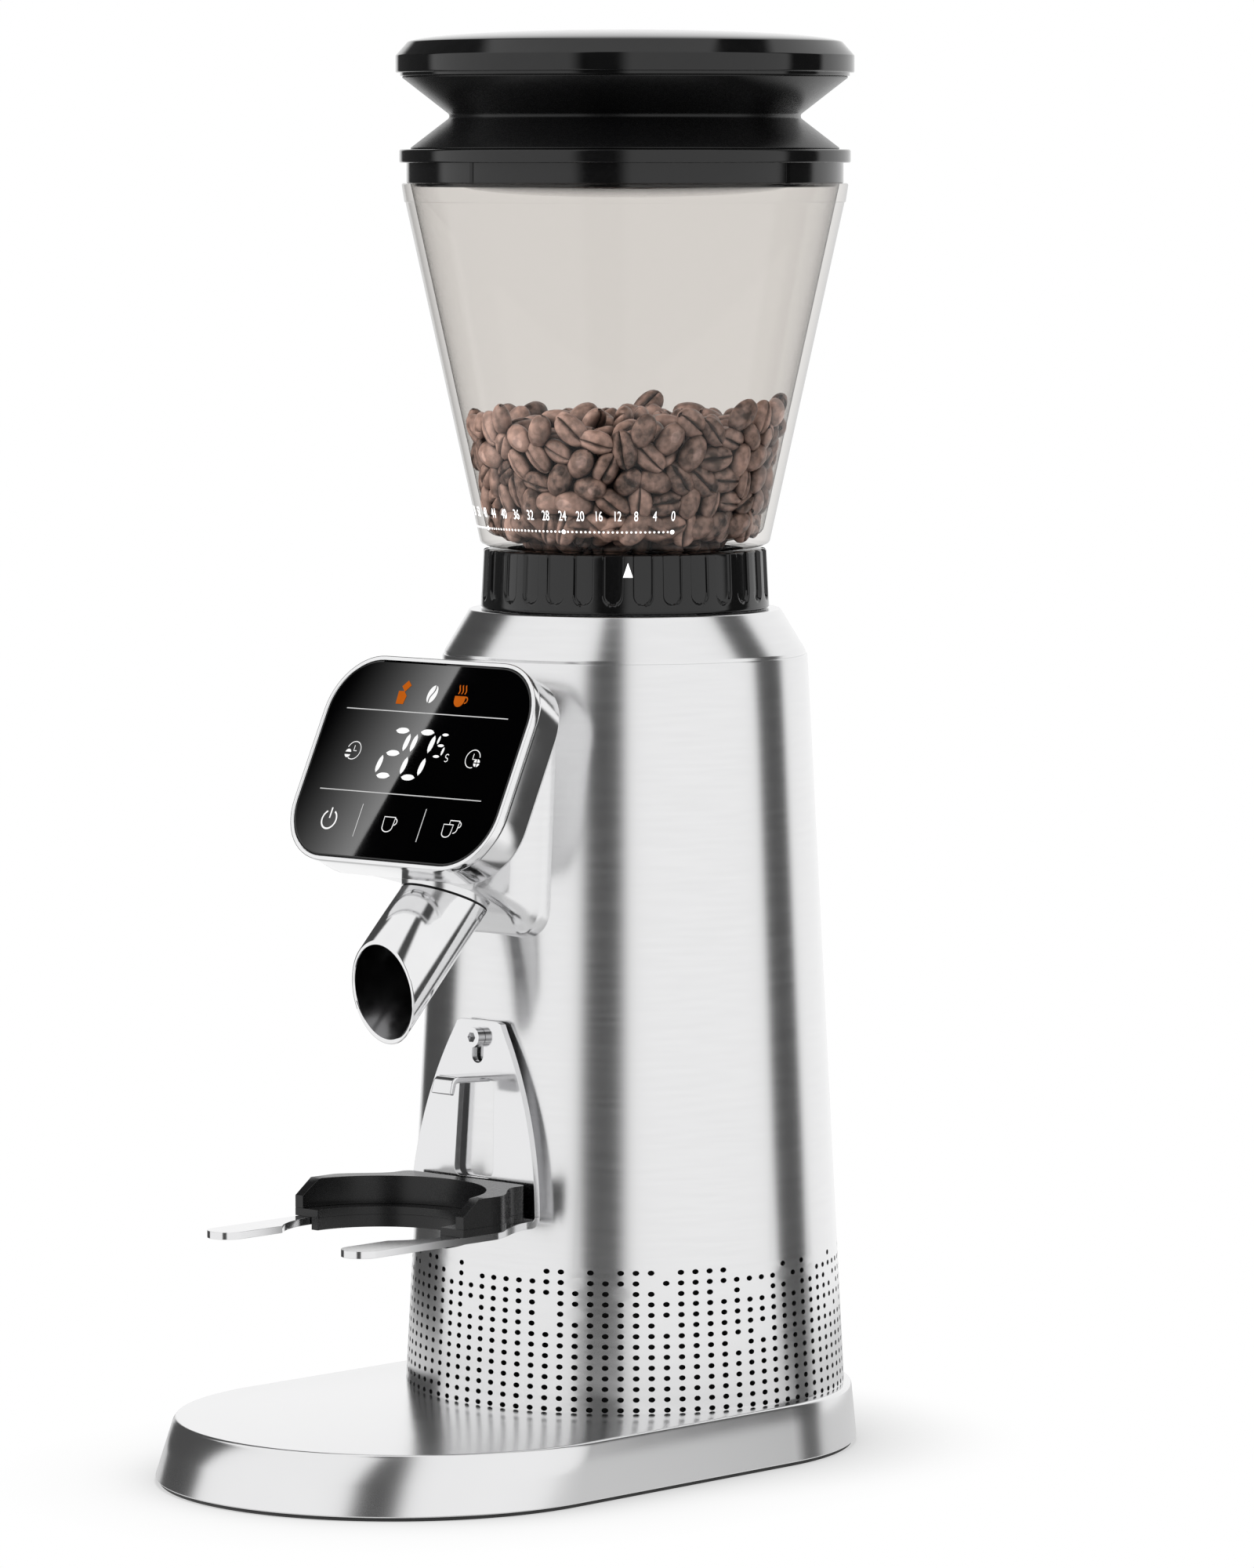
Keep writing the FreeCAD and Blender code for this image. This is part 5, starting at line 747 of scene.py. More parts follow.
class HeadSettings(PropertyGroup):
    """Head, neck and spout."""
    panel_width: length("Panel width", 79.3, "Width of the touch panel with its frame")
    panel_height: length("Panel height", 60.7, "Height of the touch panel with its frame")
    panel_corner: length("Panel corner", 17.0, "Corner radius of the panel")
    head_depth: length("Head depth", 12.5, "Depth of the head behind its front")
    spout_radius: length("Spout radius", 11.8, "Outer radius of the spout")
    spout_wall: length("Spout wall", 1.0, "Wall of the spout")
    spout_length: length("Spout length", 34.0, "Length of the tube from its turn to its mouth")


class ForkSettings(PropertyGroup):
    """Bracket, fork and cradle."""
    sheet: length("Sheet", 2.0, "Thickness of the bracket's sheet steel")
    edge: length("Edge", 0.9, "Rounding on the sheet's edges")
    cradle_edge: length("Cradle edge", 0.8, "Rounding on the cradle's edges")


class StageSettings(PropertyGroup):
    """Camera and floor."""
    distance: length("Distance", 2082.3, "From the camera to its target")
    target: length("Target height", 185.1, "Height of the camera's target")
    aside: length("Aside", 0.55, "Offset of the target to the right")
    lens: FloatProperty(name="Lens", description="Focal length of the camera", default=170.4, unit="CAMERA")
    pitch: FloatProperty(name="Pitch", description="How far the camera looks down",
                         default=math.radians(4.81), subtype="ANGLE", unit="ROTATION")
    floor: length("Floor", 9000.0, "Width of the floor")


class ColourSettings(PropertyGroup):
    """Colours of what shows from outside."""
    satin_steel: paint("Body steel", FINISHES["satin_steel"][0], "Body, collar and neck")
    base_steel: paint("Base steel", FINISHES["base_steel"][0], "Base")
    bright_steel: paint("Head steel", FINISHES["bright_steel"][0], "Head, its frame and the spout")
    fork_steel: paint("Fork steel", FINISHES["fork_steel"][0], "Bracket, fork and hook")
    ring_plastic: paint("Ring plastic", FINISHES["ring_plastic"][0], "Adjusting ring and lid ring")
    gloss_plastic: paint("Cap plastic", FINISHES["gloss_plastic"][0], "Cap and underside of the lid")
    soft_rubber: paint("Bellows rubber", FINISHES["soft_rubber"][0], "Bellows")
    dark_plastic: paint("Cradle plastic", FINISHES["dark_plastic"][0], "Cradle and cord gland")
    black_glass: paint("Panel glass", FINISHES["black_glass"][0], "Cover glass of the touch panel")
    # The print glows: painted light.
    white_print: paint("Print", GLOWS["white_print"][0], "Scale and pointer")
    lit_white: paint("White signs", GLOWS["lit_white"][0], "White signs on the panel")
    lit_line: paint("Lines", GLOWS["lit_line"][0], "Lines on the panel")
    lit_orange: paint("Warm signs", GLOWS["lit_orange"][0], "Orange signs on the panel")
    hopper_tint: paint("Hopper tint", HOPPER_TINT, "Tint of the clear hopper")
    # The dark roast is also the colour of the beans' painted shade.
    bean_dark: paint("Dark roast", BEAN_DARK_AND_SHADE, "Darkest tone of the beans")
    bean_light: paint("Light roast", BEAN_LIGHT, "Lightest tone of the beans")


class GrinderSettings(PropertyGroup):
    """All settings of the grinder."""
    body: PointerProperty(type=BodySettings, name="Body", description="Base, body, collar and ring")
    hopper: PointerProperty(type=HopperSettings, name="Hopper", description="Hopper, beans and lid")
    head: PointerProperty(type=HeadSettings, name="Head", description="Head, neck and spout")
    fork: PointerProperty(type=ForkSettings, name="Fork", description="Bracket, fork and cradle")
    colours: PointerProperty(type=ColourSettings, name="Colours", description="Colours of what shows")
    stage: PointerProperty(type=StageSettings, name="Stage", description="Camera and floor")


def settings():
    """The settings kept in the scene."""
    return bpy.context.scene.grinder


# Base and body


def stadium(radius, rear, front, z):
    """The outline of the base at one height: two half circles and their straight sides."""
    outline = arc(0, rear, radius, 0, 180, 64) + arc(0, front, radius, 180, 360, 64)
    return [(x, y, z) for x, y in outline]


def cone(z):
    """Radius of the body at a height."""
    return BODY_FOOT_RADIUS + (BODY_TOP_RADIUS - BODY_FOOT_RADIUS) * (z - BASE_TOP) / (BODY_TOP - BASE_TOP)


class GRINDER_OT_base(Operator):
    """Base with its rounded top edge"""
    bl_idname = "grinder.base"
    bl_label = "Base"

    def execute(self, context):
        edge = mm(settings().body.base_edge)
        rings = []
        for up in (0.0, 0.02, 0.5, 0.93):
            radius, rear, front = between(BASE_FOOT, BASE_RIM, up)
            inset = 0.0 if up else BASE_INSET
            rings.append(stadium(radius - inset, rear, front, BASE_LOW + (BASE_TOP - BASE_LOW) * up))
        radius, rear, front = BASE_RIM
        for k in range(1, 8):
            a = k / 7 * QUARTER
            inset = edge * (1 - math.cos(a))
            rings.append(stadium(radius - inset, rear, front, BASE_TOP - edge + edge * math.sin(a)))
        shape = bridge(rings, True, True)
        add_mesh("base_skin", shape, "base_steel", "housing", ("base_shell",), 40)
        return {"FINISHED"}


def holed_band(cells, columns, rows, low, pitch, width, height):
    """The lower band of the body: one cell for each hole, with the hole's wall behind it."""
    verts = []
    faces = []
    index = {}

    def grid(i, k):
        key = (i % (3 * columns), k)
        if key not in index:
            z = low + pitch * k / 3
            index[key] = len(verts)
            verts.append(polar(cone(z), TURN * key[0] / (3 * columns), z))
        return index[key]

    for row in range(rows):
        for column in range(columns):
            rim = [grid(3 * column + i, 3 * row + k) for i, k in CELL_RIM]
            if (row, column) not in cells:
                faces.append(tuple(rim))
                continue
            middle = low + pitch * (row + 0.5)
            start = len(verts)
            for depth in (0.0, HOLE_WALL):
                for n in range(HOLE_POINTS):
                    a = TURN * n / HOLE_POINTS - 0.75 * math.pi
                    z = middle + height / 2 * math.sin(a)
                    azimuth = TURN * (column + 0.5) / columns + width / 2 * math.cos(a) / cone(z)
                    verts.append(polar(cone(z) - depth, azimuth, z))
            for n in range(HOLE_POINTS):
                m = (n + 1) % HOLE_POINTS
                faces.append((rim[n], rim[m], start + m, start + n))
                faces.append((start + n, start + m, start + HOLE_POINTS + m, start + HOLE_POINTS + n))
    top = [grid(i, 3 * rows) for i in range(3 * columns)]
    return verts, faces, top


class GRINDER_OT_body(Operator):
    """Body with its ventilation holes, and the collar"""
    bl_idname = "grinder.body"
    bl_label = "Body"

    def execute(self, context):
        body = settings().body
        chance = random.Random(7)
        cells = set()
        for row in range(body.rows):
            for column in range(body.columns):
                if chance.random() < OPEN_SHARE[min(row, len(OPEN_SHARE) - 1)]:
                    cells.add((row, column))
        low = BASE_TOP - HOLES_SUNK
        pitch = mm(body.hole_pitch)
        verts, faces, ring = holed_band(cells, body.columns, body.rows, low, pitch, mm(body.hole_width),
                                        mm(body.hole_height))
        around = len(ring)
        start_z = low + pitch * body.rows
        heights = [start_z + (BODY_TOP - TOP_EDGE - start_z) * k / 6 for k in range(1, 7)]
        rings = [(cone(z), z) for z in heights]
        rings += [(BODY_TOP_RADIUS - TOP_CREASE, BODY_TOP - TOP_CREASE),
                  (BODY_TOP_RADIUS - TOP_EDGE, BODY_TOP), (BODY_MOUTH, BODY_TOP)]
        for radius, z in rings:
            fresh = range(len(verts), len(verts) + around)
            verts.extend(polar(radius, TURN * i / around, z) for i in range(around))
            for i in range(around):
                j = (i + 1) % around
                faces.append((ring[i], ring[j], fresh[j], fresh[i]))
            ring = fresh
        add_mesh("body_skin", (verts, faces), "satin_steel", "housing", ("body_shell",), 40)
        # A dark sheet behind the holes: painted shade for the inside of the body.
        shade_sheet = [(cone(z) - SHADE_SHEET_GAP, z) for z in SHADE_SHEET_HEIGHTS]
        add_mesh("body_lining", lathe(shade_sheet, 180), "dark_inside", "housing")
        add_mesh("collar_skin", turned(COLLAR, 240), "satin_steel", "housing", ("shoulder_collar",),
                 40)
        return {"FINISHED"}


def ring_radius(z):
    """Radius of the adjusting ring's side at a height."""
    return RING_RADIUS - RING_TAPER * (z - RING_LOW) / RING_HEIGHT


class GRINDER_OT_ring(Operator):
    """Adjusting ring with its finger flutes and pointer"""
    bl_idname = "grinder.ring"
    bl_label = "Adjusting ring"

    def execute(self, context):
        body = settings().body
        verts, faces = lathe(RING_FOOT + [(ring_radius(z), z) for z in RING_SIDE] + RING_TOP, 1440, True)
        half = mm(body.flute_width) / 2
        foot = FLUTE_FOOT + half
        pitch = TURN / body.flutes
        shaped = []
        for x, y, z in verts:
            radius = math.hypot(x, y)
            if radius > SIDE_RADIUS and z > SIDE_LOW:
                azimuth = math.atan2(x, -y) - POINTER_AZIMUTH
                off = (azimuth / pitch % 1.0 - 0.5) * pitch * radius
                inside = half - (abs(off) if z > foot else math.hypot(off, z - foot))
                x, y = drawn_in(x, y, mm(body.flute_depth) * smooth((inside + FLUTE_SPILL) / FLUTE_BLEND))
            shaped.append((x, y, z))
        add_mesh("ring_skin", (shaped, faces), "ring_plastic", "adjuster", ("adjusting_ring",),
                 50)
        points = []
        for u, z in POINTER:
            radius = ring_radius(z) + PRINT_LIFT
            points.append(polar(radius, POINTER_AZIMUTH + u / radius, z))
        # The pointer's print glows: painted light.
        add_mesh("ring_pointer", (points, [(0, 1, 2)]), "white_print", "adjuster")
        return {"FINISHED"}


# Hopper, beans and lid


def hopper_radius(z):
    """Outer radius of the hopper's wall at a height."""
    return OUTER_FOOT + (OUTER_TOP - OUTER_FOOT) * (z - HOPPER_FOOT) / (HOPPER_TOP - HOPPER_FOOT)


def glyphs(text, size):
    """Flat letters as points and faces, centred on their width."""
    curve = bpy.data.curves.new("letters", "FONT")
    curve.body = text
    curve.align_x = "CENTER"
    curve.size = 1.0
    obj = show("letters", curve)
    bpy.context.view_layer.update()
    mesh = obj.evaluated_get(bpy.context.evaluated_depsgraph_get()).to_mesh()
    points = [(v.co.x, v.co.y) for v in mesh.vertices]
    faces = [tuple(p.vertices) for p in mesh.polygons]
    bpy.data.objects.remove(obj)
    bpy.data.curves.remove(curve)
    high = max(y for x, y in points)
    return [(x * size / high, y * size / high) for x, y in points], faces


class GRINDER_OT_hopper(Operator):
    """Clear hopper with its printed scale"""
    bl_idname = "grinder.hopper"
    bl_label = "Hopper"

    def execute(self, context):
        add_mesh("hopper_skin", turned(HOPPER, 256), "clear_plastic", "hopper_body", ("hopper",),
                 60)
        size = mm(settings().hopper.digit_height)
        dot_reach = hopper_radius(DOT_Z) + SCALE_LIFT
        parts = []
        for n in range(SCALE_MARKS):
            azimuth = math.radians(SCALE_START - SCALE_STEP * n)
            dot = BIG_DOT_RADIUS if n in BIG_DOTS else DOT_RADIUS
            outline = arc(0, DOT_Z, dot, 0, 360, DOT_POINTS)[:-1]
            dots = [polar(hopper_radius(z) + SCALE_LIFT, azimuth + u / dot_reach, z) for u, z in outline]
            parts.append((dots, [tuple(range(DOT_POINTS))]))
            if n % DIGIT_EVERY == 0:
                flat, faces = glyphs(str(n), size)
                wrapped = []
                for x, y in flat:
                    z = DIGIT_Z + y
                    reach = hopper_radius(z) + SCALE_LIFT
                    wrapped.append(polar(reach, azimuth + DIGIT_SQUEEZE * x / reach, z))
                parts.append((wrapped, faces))
        # The scale's print glows: painted light.
        add_mesh("hopper_scale", joined(*parts), "white_print", "hopper_body")
        return {"FINISHED"}


def poured(number, radius, seed):
    """Centres of equal balls poured into the hopper and settled."""
    rng = np.random.default_rng(seed)
    slope = (INNER_TOP - INNER_FOOT) / (HOPPER_TOP - HOPPER_FOOT)
    z = POUR_LOW + POUR_HEIGHT * rng.random(number)
    angle = TURN * rng.random(number)
    reach = (INNER_FOOT + slope * (z - HOPPER_FOOT) - radius) * np.sqrt(rng.random(number))
    at = np.stack([reach * np.cos(angle), reach * np.sin(angle), z], 1)
    lean = math.hypot(1.0, slope)
    first = second = None
    for step in range(POUR_STEPS):
        at[:, 2] -= FALL if step < SETTLE_STEP else SETTLE_FALL
        if step % NEIGHBOUR_EVERY == 0:
            apart = at[:, None, :] - at[None, :, :]
            close = (apart ** 2).sum(2) < (2 * radius + NEIGHBOUR_REACH) ** 2
            first, second = np.nonzero(np.triu(close, 1))
        for _ in range(3):
            apart = at[first] - at[second]
            gap = np.sqrt((apart ** 2).sum(1)) + TINY
            push = apart * (np.clip(2 * radius - gap, 0, None) / gap * PUSH)[:, None]
            np.add.at(at, first, push)
            np.subtract.at(at, second, push)
            flat = np.hypot(at[:, 0], at[:, 1]) + TINY
            cone_wall = INNER_FOOT + slope * (at[:, 2] - HOPPER_FOOT)
            wall = np.where(at[:, 2] > HOPPER_FOOT, cone_wall, HOPPER_BORE)
            over = np.clip(flat + WALL_SHARE * radius * lean - wall, 0, None) / flat
            at[:, :2] -= at[:, :2] * over[:, None]
            flat = np.hypot(at[:, 0], at[:, 1])
            floor = np.where(flat > FLOOR_FROM, FLOOR_Z + (flat - HOPPER_BORE) * FLOOR_RISE, BORE_FLOOR)
            at[:, 2] = np.maximum(at[:, 2], floor + radius * FLOOR_SHARE)
    return at


def bean_shape(longest):
    """One bean along its own x axis, and the painted shade laid on each point, which darkens the crease."""
    rings = []
    light = []
    half = longest / 2
    for k in range(BEAN_RINGS):
        t = math.pi * (k + 0.5) / BEAN_RINGS
        swell = math.sin(t) ** BEAN_SWELL
        ring = []
        for i, (y, z) in enumerate(BEAN_SECTION):
            high = BEAN_BACK if z > 0 else BEAN_FLAT
            bow = CREASE_BOW * math.sin(2 * t) if i in CREASE_POINTS else 0.0
            ring.append((half * math.cos(t), BEAN_WIDTH * half * swell * y + bow, high * half * swell * z))
            shade = CREASE_DEEPEST_PAINTED_SHADE if i == CREASE_DEEPEST else CREASE_SIDE_PAINTED_SHADE
            light.append(shade if i in CREASE_POINTS else 0.0)
        rings.append(ring)
    return *bridge(rings, True, True), light


class GRINDER_OT_beans(Operator):
    """Beans poured into the hopper"""
    bl_idname = "grinder.beans"
    bl_label = "Beans"

    def execute(self, context):
        hopper = settings().hopper
        longest = mm(hopper.bean_length)
        chance = random.Random(11)
        base_verts, base_faces, light = bean_shape(longest)
        verts = []
        faces = []
        tone_and_crease_shade = []
        for x, y, z in poured(hopper.beans, BEAN_PACK * longest, 3):
            reach = math.hypot(x, y)
            wall = INNER_FOOT + BEAN_WALL_RISE * max(0.0, z - HOPPER_FOOT)
            outward = Vector((x, y, -BEAN_WALL_LEAN * reach)).normalized() if reach > 1 else Vector((0, 0, 1))
            free = reach < wall - BEAN_NEAR_WALL * longest
            facing = Vector((chance.gauss(0, 1), chance.gauss(0, 1), chance.gauss(0, 1))).normalized()
            face = facing + Vector((0, 0, BEAN_UPWARD)) if free else outward + BEAN_TILT * facing
            face.normalize()
            if chance.random() < FLAT_SIDE_HIDDEN:
                face = -face
            turn = face.to_track_quat("Z", "X").to_matrix() @ Matrix.Rotation(chance.uniform(0, TURN), 3, "Z")
            grow = chance.uniform(*BEAN_GROWTH)
            tone = chance.random()
            start = len(verts)
            for v in base_verts:
                p = turn @ (Vector(v) * grow)
                verts.append((x + p.x, y + p.y, z + p.z))
            # Each bean's own tone, with the painted shade of its crease added.
            tone_and_crease_shade.extend(tone + shade for shade in light)
            faces.extend(tuple(i + start for i in points) for points in base_faces)
        mesh = bpy.data.meshes.new("beans")
        mesh.from_pydata([Vector(v) * MM for v in verts], [], faces)
        mesh.shade_smooth()
        mesh.attributes.new("tone", "FLOAT", "POINT").data.foreach_set("value", tone_and_crease_shade)
        mesh.materials.append(look("roasted_bean"))
        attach(show("beans", mesh), "hopper_body")
        return {"FINISHED"}


class GRINDER_OT_lid(Operator):
    """Lid ring, underside, bellows and cap"""
    bl_idname = "grinder.lid"
    bl_label = "Lid"

    def execute(self, context):
        verts, faces = turned(LID_RING, 720)
        notched = []
        for x, y, z in verts:
            radius = math.hypot(x, y)
            off = abs((math.atan2(x, -y) / QUARTER + 0.5) % 1.0 - 0.5) * QUARTER * radius
            on_side = NOTCH_RADII[0] < radius < NOTCH_RADII[1] and NOTCH_HEIGHTS[0] < z < NOTCH_HEIGHTS[1]
            if on_side and off < NOTCH:
                x, y = drawn_in(x, y, NOTCH)
            notched.append((x, y, z))
        add_mesh("lid_ring_skin", (notched, faces), "ring_plastic", "lid", ("lid_ring",), 40)
        bowed = [(LID_FLOOR_RADIUS * math.sin(a), LID_FLOOR_Z - LID_FLOOR_BOW * math.cos(a))
                 for a in np.linspace(0, QUARTER, 16)]
        floor = lathe(bowed + [(LID_FLOOR_EDGE, LID_FLOOR_Z)], 180)
        add_mesh("lid_floor", floor, "gloss_plastic", "lid", (), 60)
        bellows = add_mesh("bellows_skin", turned(BELLOWS, 240), "soft_rubber", "lid", ("bellows",),
                           50)
        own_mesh(bellows)
        dome = [(DOME_RADIUS * math.cos(a), DOME_Z + DOME_RISE * math.sin(a))
                for a in np.linspace(DOME_START, QUARTER, 16)]
        add_mesh("lid_cap_skin", lathe(fillet(CAP_RIM) + dome, 240), "gloss_plastic", "lid_top", ("lid_cap",),
                 35)
        return {"FINISHED"}


# Head, neck and spout


def head_point(u, w, depth):
    """A point on the head: across, up along the panel, and behind its front."""
    return (u, HEAD_Y + w * math.sin(HEAD_LEAN) + depth * math.cos(HEAD_LEAN),
            HEAD_Z + w * math.cos(HEAD_LEAN) - depth * math.sin(HEAD_LEAN))


def head_ring(inset, depth):
    """The head's outline, drawn in by an inset, at a depth."""
    head = settings().head
    half_width = mm(head.panel_width) / 2 - inset
    half_height = mm(head.panel_height) / 2 - inset
    outline = rounded_box(half_width, -half_height, half_height, mm(head.panel_corner) - inset)
    return [head_point(u, w, depth) for u, w in outline]


class GRINDER_OT_head(Operator):
    """Head shell, frame and cover glass of the touch panel"""
    bl_idname = "grinder.head"
    bl_label = "Head"

    def execute(self, context):
        deep = mm(settings().head.head_depth)
        shell = SHELL_RINGS + tuple((inset, deep) for inset in SHELL_BACK_INSETS)
        for name, rings, cap, finish_name, node, slot, crease in (
                ("bezel_skin", BEZEL_RINGS, False, "bright_steel", "bezel_frame", "steel_body", 50),
                ("head_skin", shell, False, "bright_steel", "head_shell", "steel_body", 50),
                ("panel_skin", GLASS_RINGS, True, "black_glass", "touch_glass", "panel_glass", 5)):
            shape = bridge([head_ring(*ring) for ring in rings], False, cap)
            add_mesh(name, shape, finish_name, "housing", (node,), crease)
        return {"FINISHED"}


def stroke(points, width, closed=False):
    """A drawn line of even width."""
    size = len(points)
    verts = []
    for i, (x, y) in enumerate(points):
        before = points[i - 1] if i or closed else points[i]
        after = points[(i + 1) % size] if i < size - 1 or closed else points[i]
        along = Vector((after[0] - before[0], after[1] - before[1])).normalized()
        verts.append((x - along.y * width / 2, y + along.x * width / 2))
        verts.append((x + along.y * width / 2, y - along.x * width / 2))
    faces = []
    for i in range(size if closed else size - 1):
        j = (i + 1) % size
        faces.append((2 * i, 2 * i + 1, 2 * j + 1, 2 * j))
    return verts, faces


def segment_digit(lit, high, thick):
    """One display digit made of leaning lens-shaped bars."""
    wide = 0.5 * high
    bars = {
        "a": ((0, high), (wide, high)), "g": ((0, high / 2), (wide, high / 2)), "d": ((0, 0), (wide, 0)),
        "f": ((0, high / 2), (0, high)), "b": ((wide, high / 2), (wide, high)),
        "e": ((0, 0), (0, high / 2)), "c": ((wide, 0), (wide, high / 2)),
    }
    parts = []
    for key in lit:
        start, end = Vector(bars[key][0]), Vector(bars[key][1])
        along = (end - start).normalized()
        aside = Vector((-along.y, along.x))
        start += along * 0.42 * thick
        reach = end - along * 0.42 * thick - start
        outline = []
        for side in (1, -1):
            for k in range(7):
                t = k / 6 if side == 1 else 1 - k / 6
                swell = thick / 2 * (1 - abs(2 * t - 1) ** 3)
                outline.append(start + reach * t + aside * side * swell)
        parts.append(filled([(p.x + DIGIT_LEAN * p.y, p.y) for p in outline]))
    return joined(*parts)


def cup_bowl(width):
    """The bowl of a plain cup, drawn as a line."""
    foot = arc(0, -0.9, 1.9, 180, 360, 12, 0.75)
    return stroke([(-2.1, 2.0)] + foot + [(2.1, 2.0)], width, True)


def cup_handle(width):
    """The handle of a plain cup."""
    return stroke(arc(2.1, 0.7, 0.95, -85, 85, 12), width)


def cup_behind(width):
    """What shows of a cup that stands behind another."""
    outline = [(-2.0, 0.55), (-2.1, 2.0), (2.1, 2.0), (1.9, -0.9)] + arc(0, -0.9, 1.9, 0, -75, 8, 0.75)[1:]
    return joined(stroke(outline, width), cup_handle(width))


def clock_sign(plus):
    """A clock with a plus or a minus beside it."""
    face = stroke(arc(0, 0, 2.6, 12 if plus else 240, 288 if plus else 520, 36), CLOCK_WIDTH)
    hands = stroke([(0, 1.5), (0, -0.1), (1.1, -0.1)], CLOCK_WIDTH)
    if plus:
        badge = []
        for start in (0, 90, 180, 270):
            middle = math.radians(start + 45)
            x, y = 1.9 + 0.22 * math.cos(middle), -1.1 + 0.22 * math.sin(middle)
            badge.append(filled([(x, y)] + arc(x, y, 0.95, start, start + 90, 6)))
    else:
        badge = [filled(arc(-1.9, -0.75, 1.1, 12, 168, 14)), filled(arc(-1.9, -1.05, 1.1, 192, 348, 14))]
    return joined(face, hands, *badge)


def bean_sign():
    """A leaning bean in two halves."""
    wide, high = BEAN_SIGN
    halves = []
    for side in (1, -1):
        split = [(0.35 * math.sin(t * math.pi) + side * 0.22, high * t) for t in np.linspace(-1, 1, 13)]
        rim = [(side * wide * math.sin(a), -high * math.cos(a)) for a in np.linspace(math.pi, 0, 13)]
        halves.append(filled([(x * 0.95 + 0.25 * y, y - 0.2 * x) for x, y in split + rim[1:-1]]))
    return joined(*halves)


class GRINDER_OT_display(Operator):
    """Lit signs on the touch panel"""
    bl_idname = "grinder.display"
    bl_label = "Display"

    def execute(self, context):
        head = settings().head

        def spot(a, b):
            return (a - 0.5) * mm(head.panel_width), (0.5 - b) * mm(head.panel_height)

        def draw(shape, a, b, right=0.0, up=0.0, scale=1.0):
            x, y = spot(a, b)
            verts, faces = shape
            return [(x + right + scale * u, y + up + scale * w) for u, w in verts], faces

        def lay(name, material, drawings):
            verts, faces = joined(*drawings)
            add_mesh(name, ([head_point(u, w, SIGN_DEPTH) for u, w in verts], faces), material, "housing")

        lay("panel_lines", "lit_line",
            [stroke([spot(*ends[:2]), spot(*ends[2:])], LINE_WIDTH) for ends in PANEL_LINES])
        seconds = arc(0, 0.55, 0.55, 30, 270, 12) + arc(0, -0.55, 0.55, 90, -150, 12)
        lay("panel_signs", "lit_white", [
            draw(segment_digit("abged", 13.4, 1.75), 0.454, 0.466, -8.6, -6.7),
            draw(segment_digit("abcdef", 13.4, 1.75), 0.454, 0.466, 0.9, -6.7),
            draw(segment_digit("afgcd", 6.4, 0.8), 0.594, 0.414, -0.5, -3.2),
            draw(stroke(seconds, 0.25), 0.66, 0.47),
            draw(stroke(arc(0, 0, 2.7, 120, 420, 40), BOLD_WIDTH), 0.201, 0.805),
            draw(stroke([(0, 0.4), (0, 3.5)], BOLD_WIDTH), 0.201, 0.805),
            draw(bean_sign(), 0.494, 0.172),
            draw(clock_sign(False), 0.209, 0.467),
            draw(clock_sign(True), 0.783, 0.465),
            draw(joined(cup_bowl(LINE_WIDTH), cup_handle(LINE_WIDTH)), 0.488, 0.803),
            draw(cup_behind(BACK_CUP_WIDTH), 0.785, 0.80, 1.0, 0.6, 0.85),
            draw(cup_bowl(BACK_CUP_WIDTH), 0.785, 0.80, -1.0, -0.6, 0.85),
        ])
        bowl = [(-2.2, 0.0), (2.0, 0.0)] + arc(-0.1, -1.0, 2.0, 0, -180, 12, 1.1)
        warm = [
            draw(filled([(0.4, 0.2), (2.2, 2.2), (0.6, 3.6), (-1.2, 1.8)]), 0.354, 0.173),
            draw(filled([(-1.9, 0.4), (0.2, 0.4), (1.6, -0.9), (1.2, -3.4), (-1.6, -3.4)]), 0.354, 0.173),
            draw(filled(bowl), 0.631, 0.172),
            draw(stroke(arc(2.0, -1.1, 0.9, -90, 90, 10), WARM_WIDTH), 0.631, 0.172),
        ]
        for k in (-1.2, 0.0, 1.2):
            steam = [(k + 0.28 * math.sin(5 * t), 0.6 + 2.6 * t) for t in np.linspace(0, 1, 9)]
            warm.append(draw(stroke(steam, WARM_WIDTH), 0.631, 0.172))
        lay("panel_warm_signs", "lit_orange", warm)
        return {"FINISHED"}


def neck_outline(grow=0.0):
    """The neck's outline, grown outwards."""
    return rounded_box(NECK_HALF + grow, NECK_LOW - grow, NECK_HIGH + grow, NECK_CORNER + grow)


def neck_ring(grow, offset):
    """The neck's outline grown outwards and laid at an offset over the body."""
    ring = []
    for u, w in neck_outline(grow):
        near, far = NECK_REACH
        for _ in range(40):
            middle = (near + far) / 2
            x, y, z = head_point(u, w, middle)
            if math.hypot(x, y) > cone(z) + offset:
                near = middle
            else:
                far = middle
        ring.append(head_point(u, w, near))
    return ring


class GRINDER_OT_neck(Operator):
    """Neck between head and body, with its tapered front and saddle"""
    bl_idname = "grinder.neck"
    bl_label = "Neck"

    def execute(self, context):
        front = head_ring(SHELL_BACK_INSETS[0], mm(settings().head.head_depth))
        waist = [head_point(u, w, NECK_WAIST) for u, w in neck_outline()]
        rings = [[between(p, q, k / 8) for p, q in zip(front, waist)] for k in range(9)]
        rings += [neck_ring(grow, offset) for grow, offset in SADDLE]
        add_mesh("neck_skin", bridge(rings), "satin_steel", "housing", ("neck_housing",), 80)
        return {"FINISHED"}


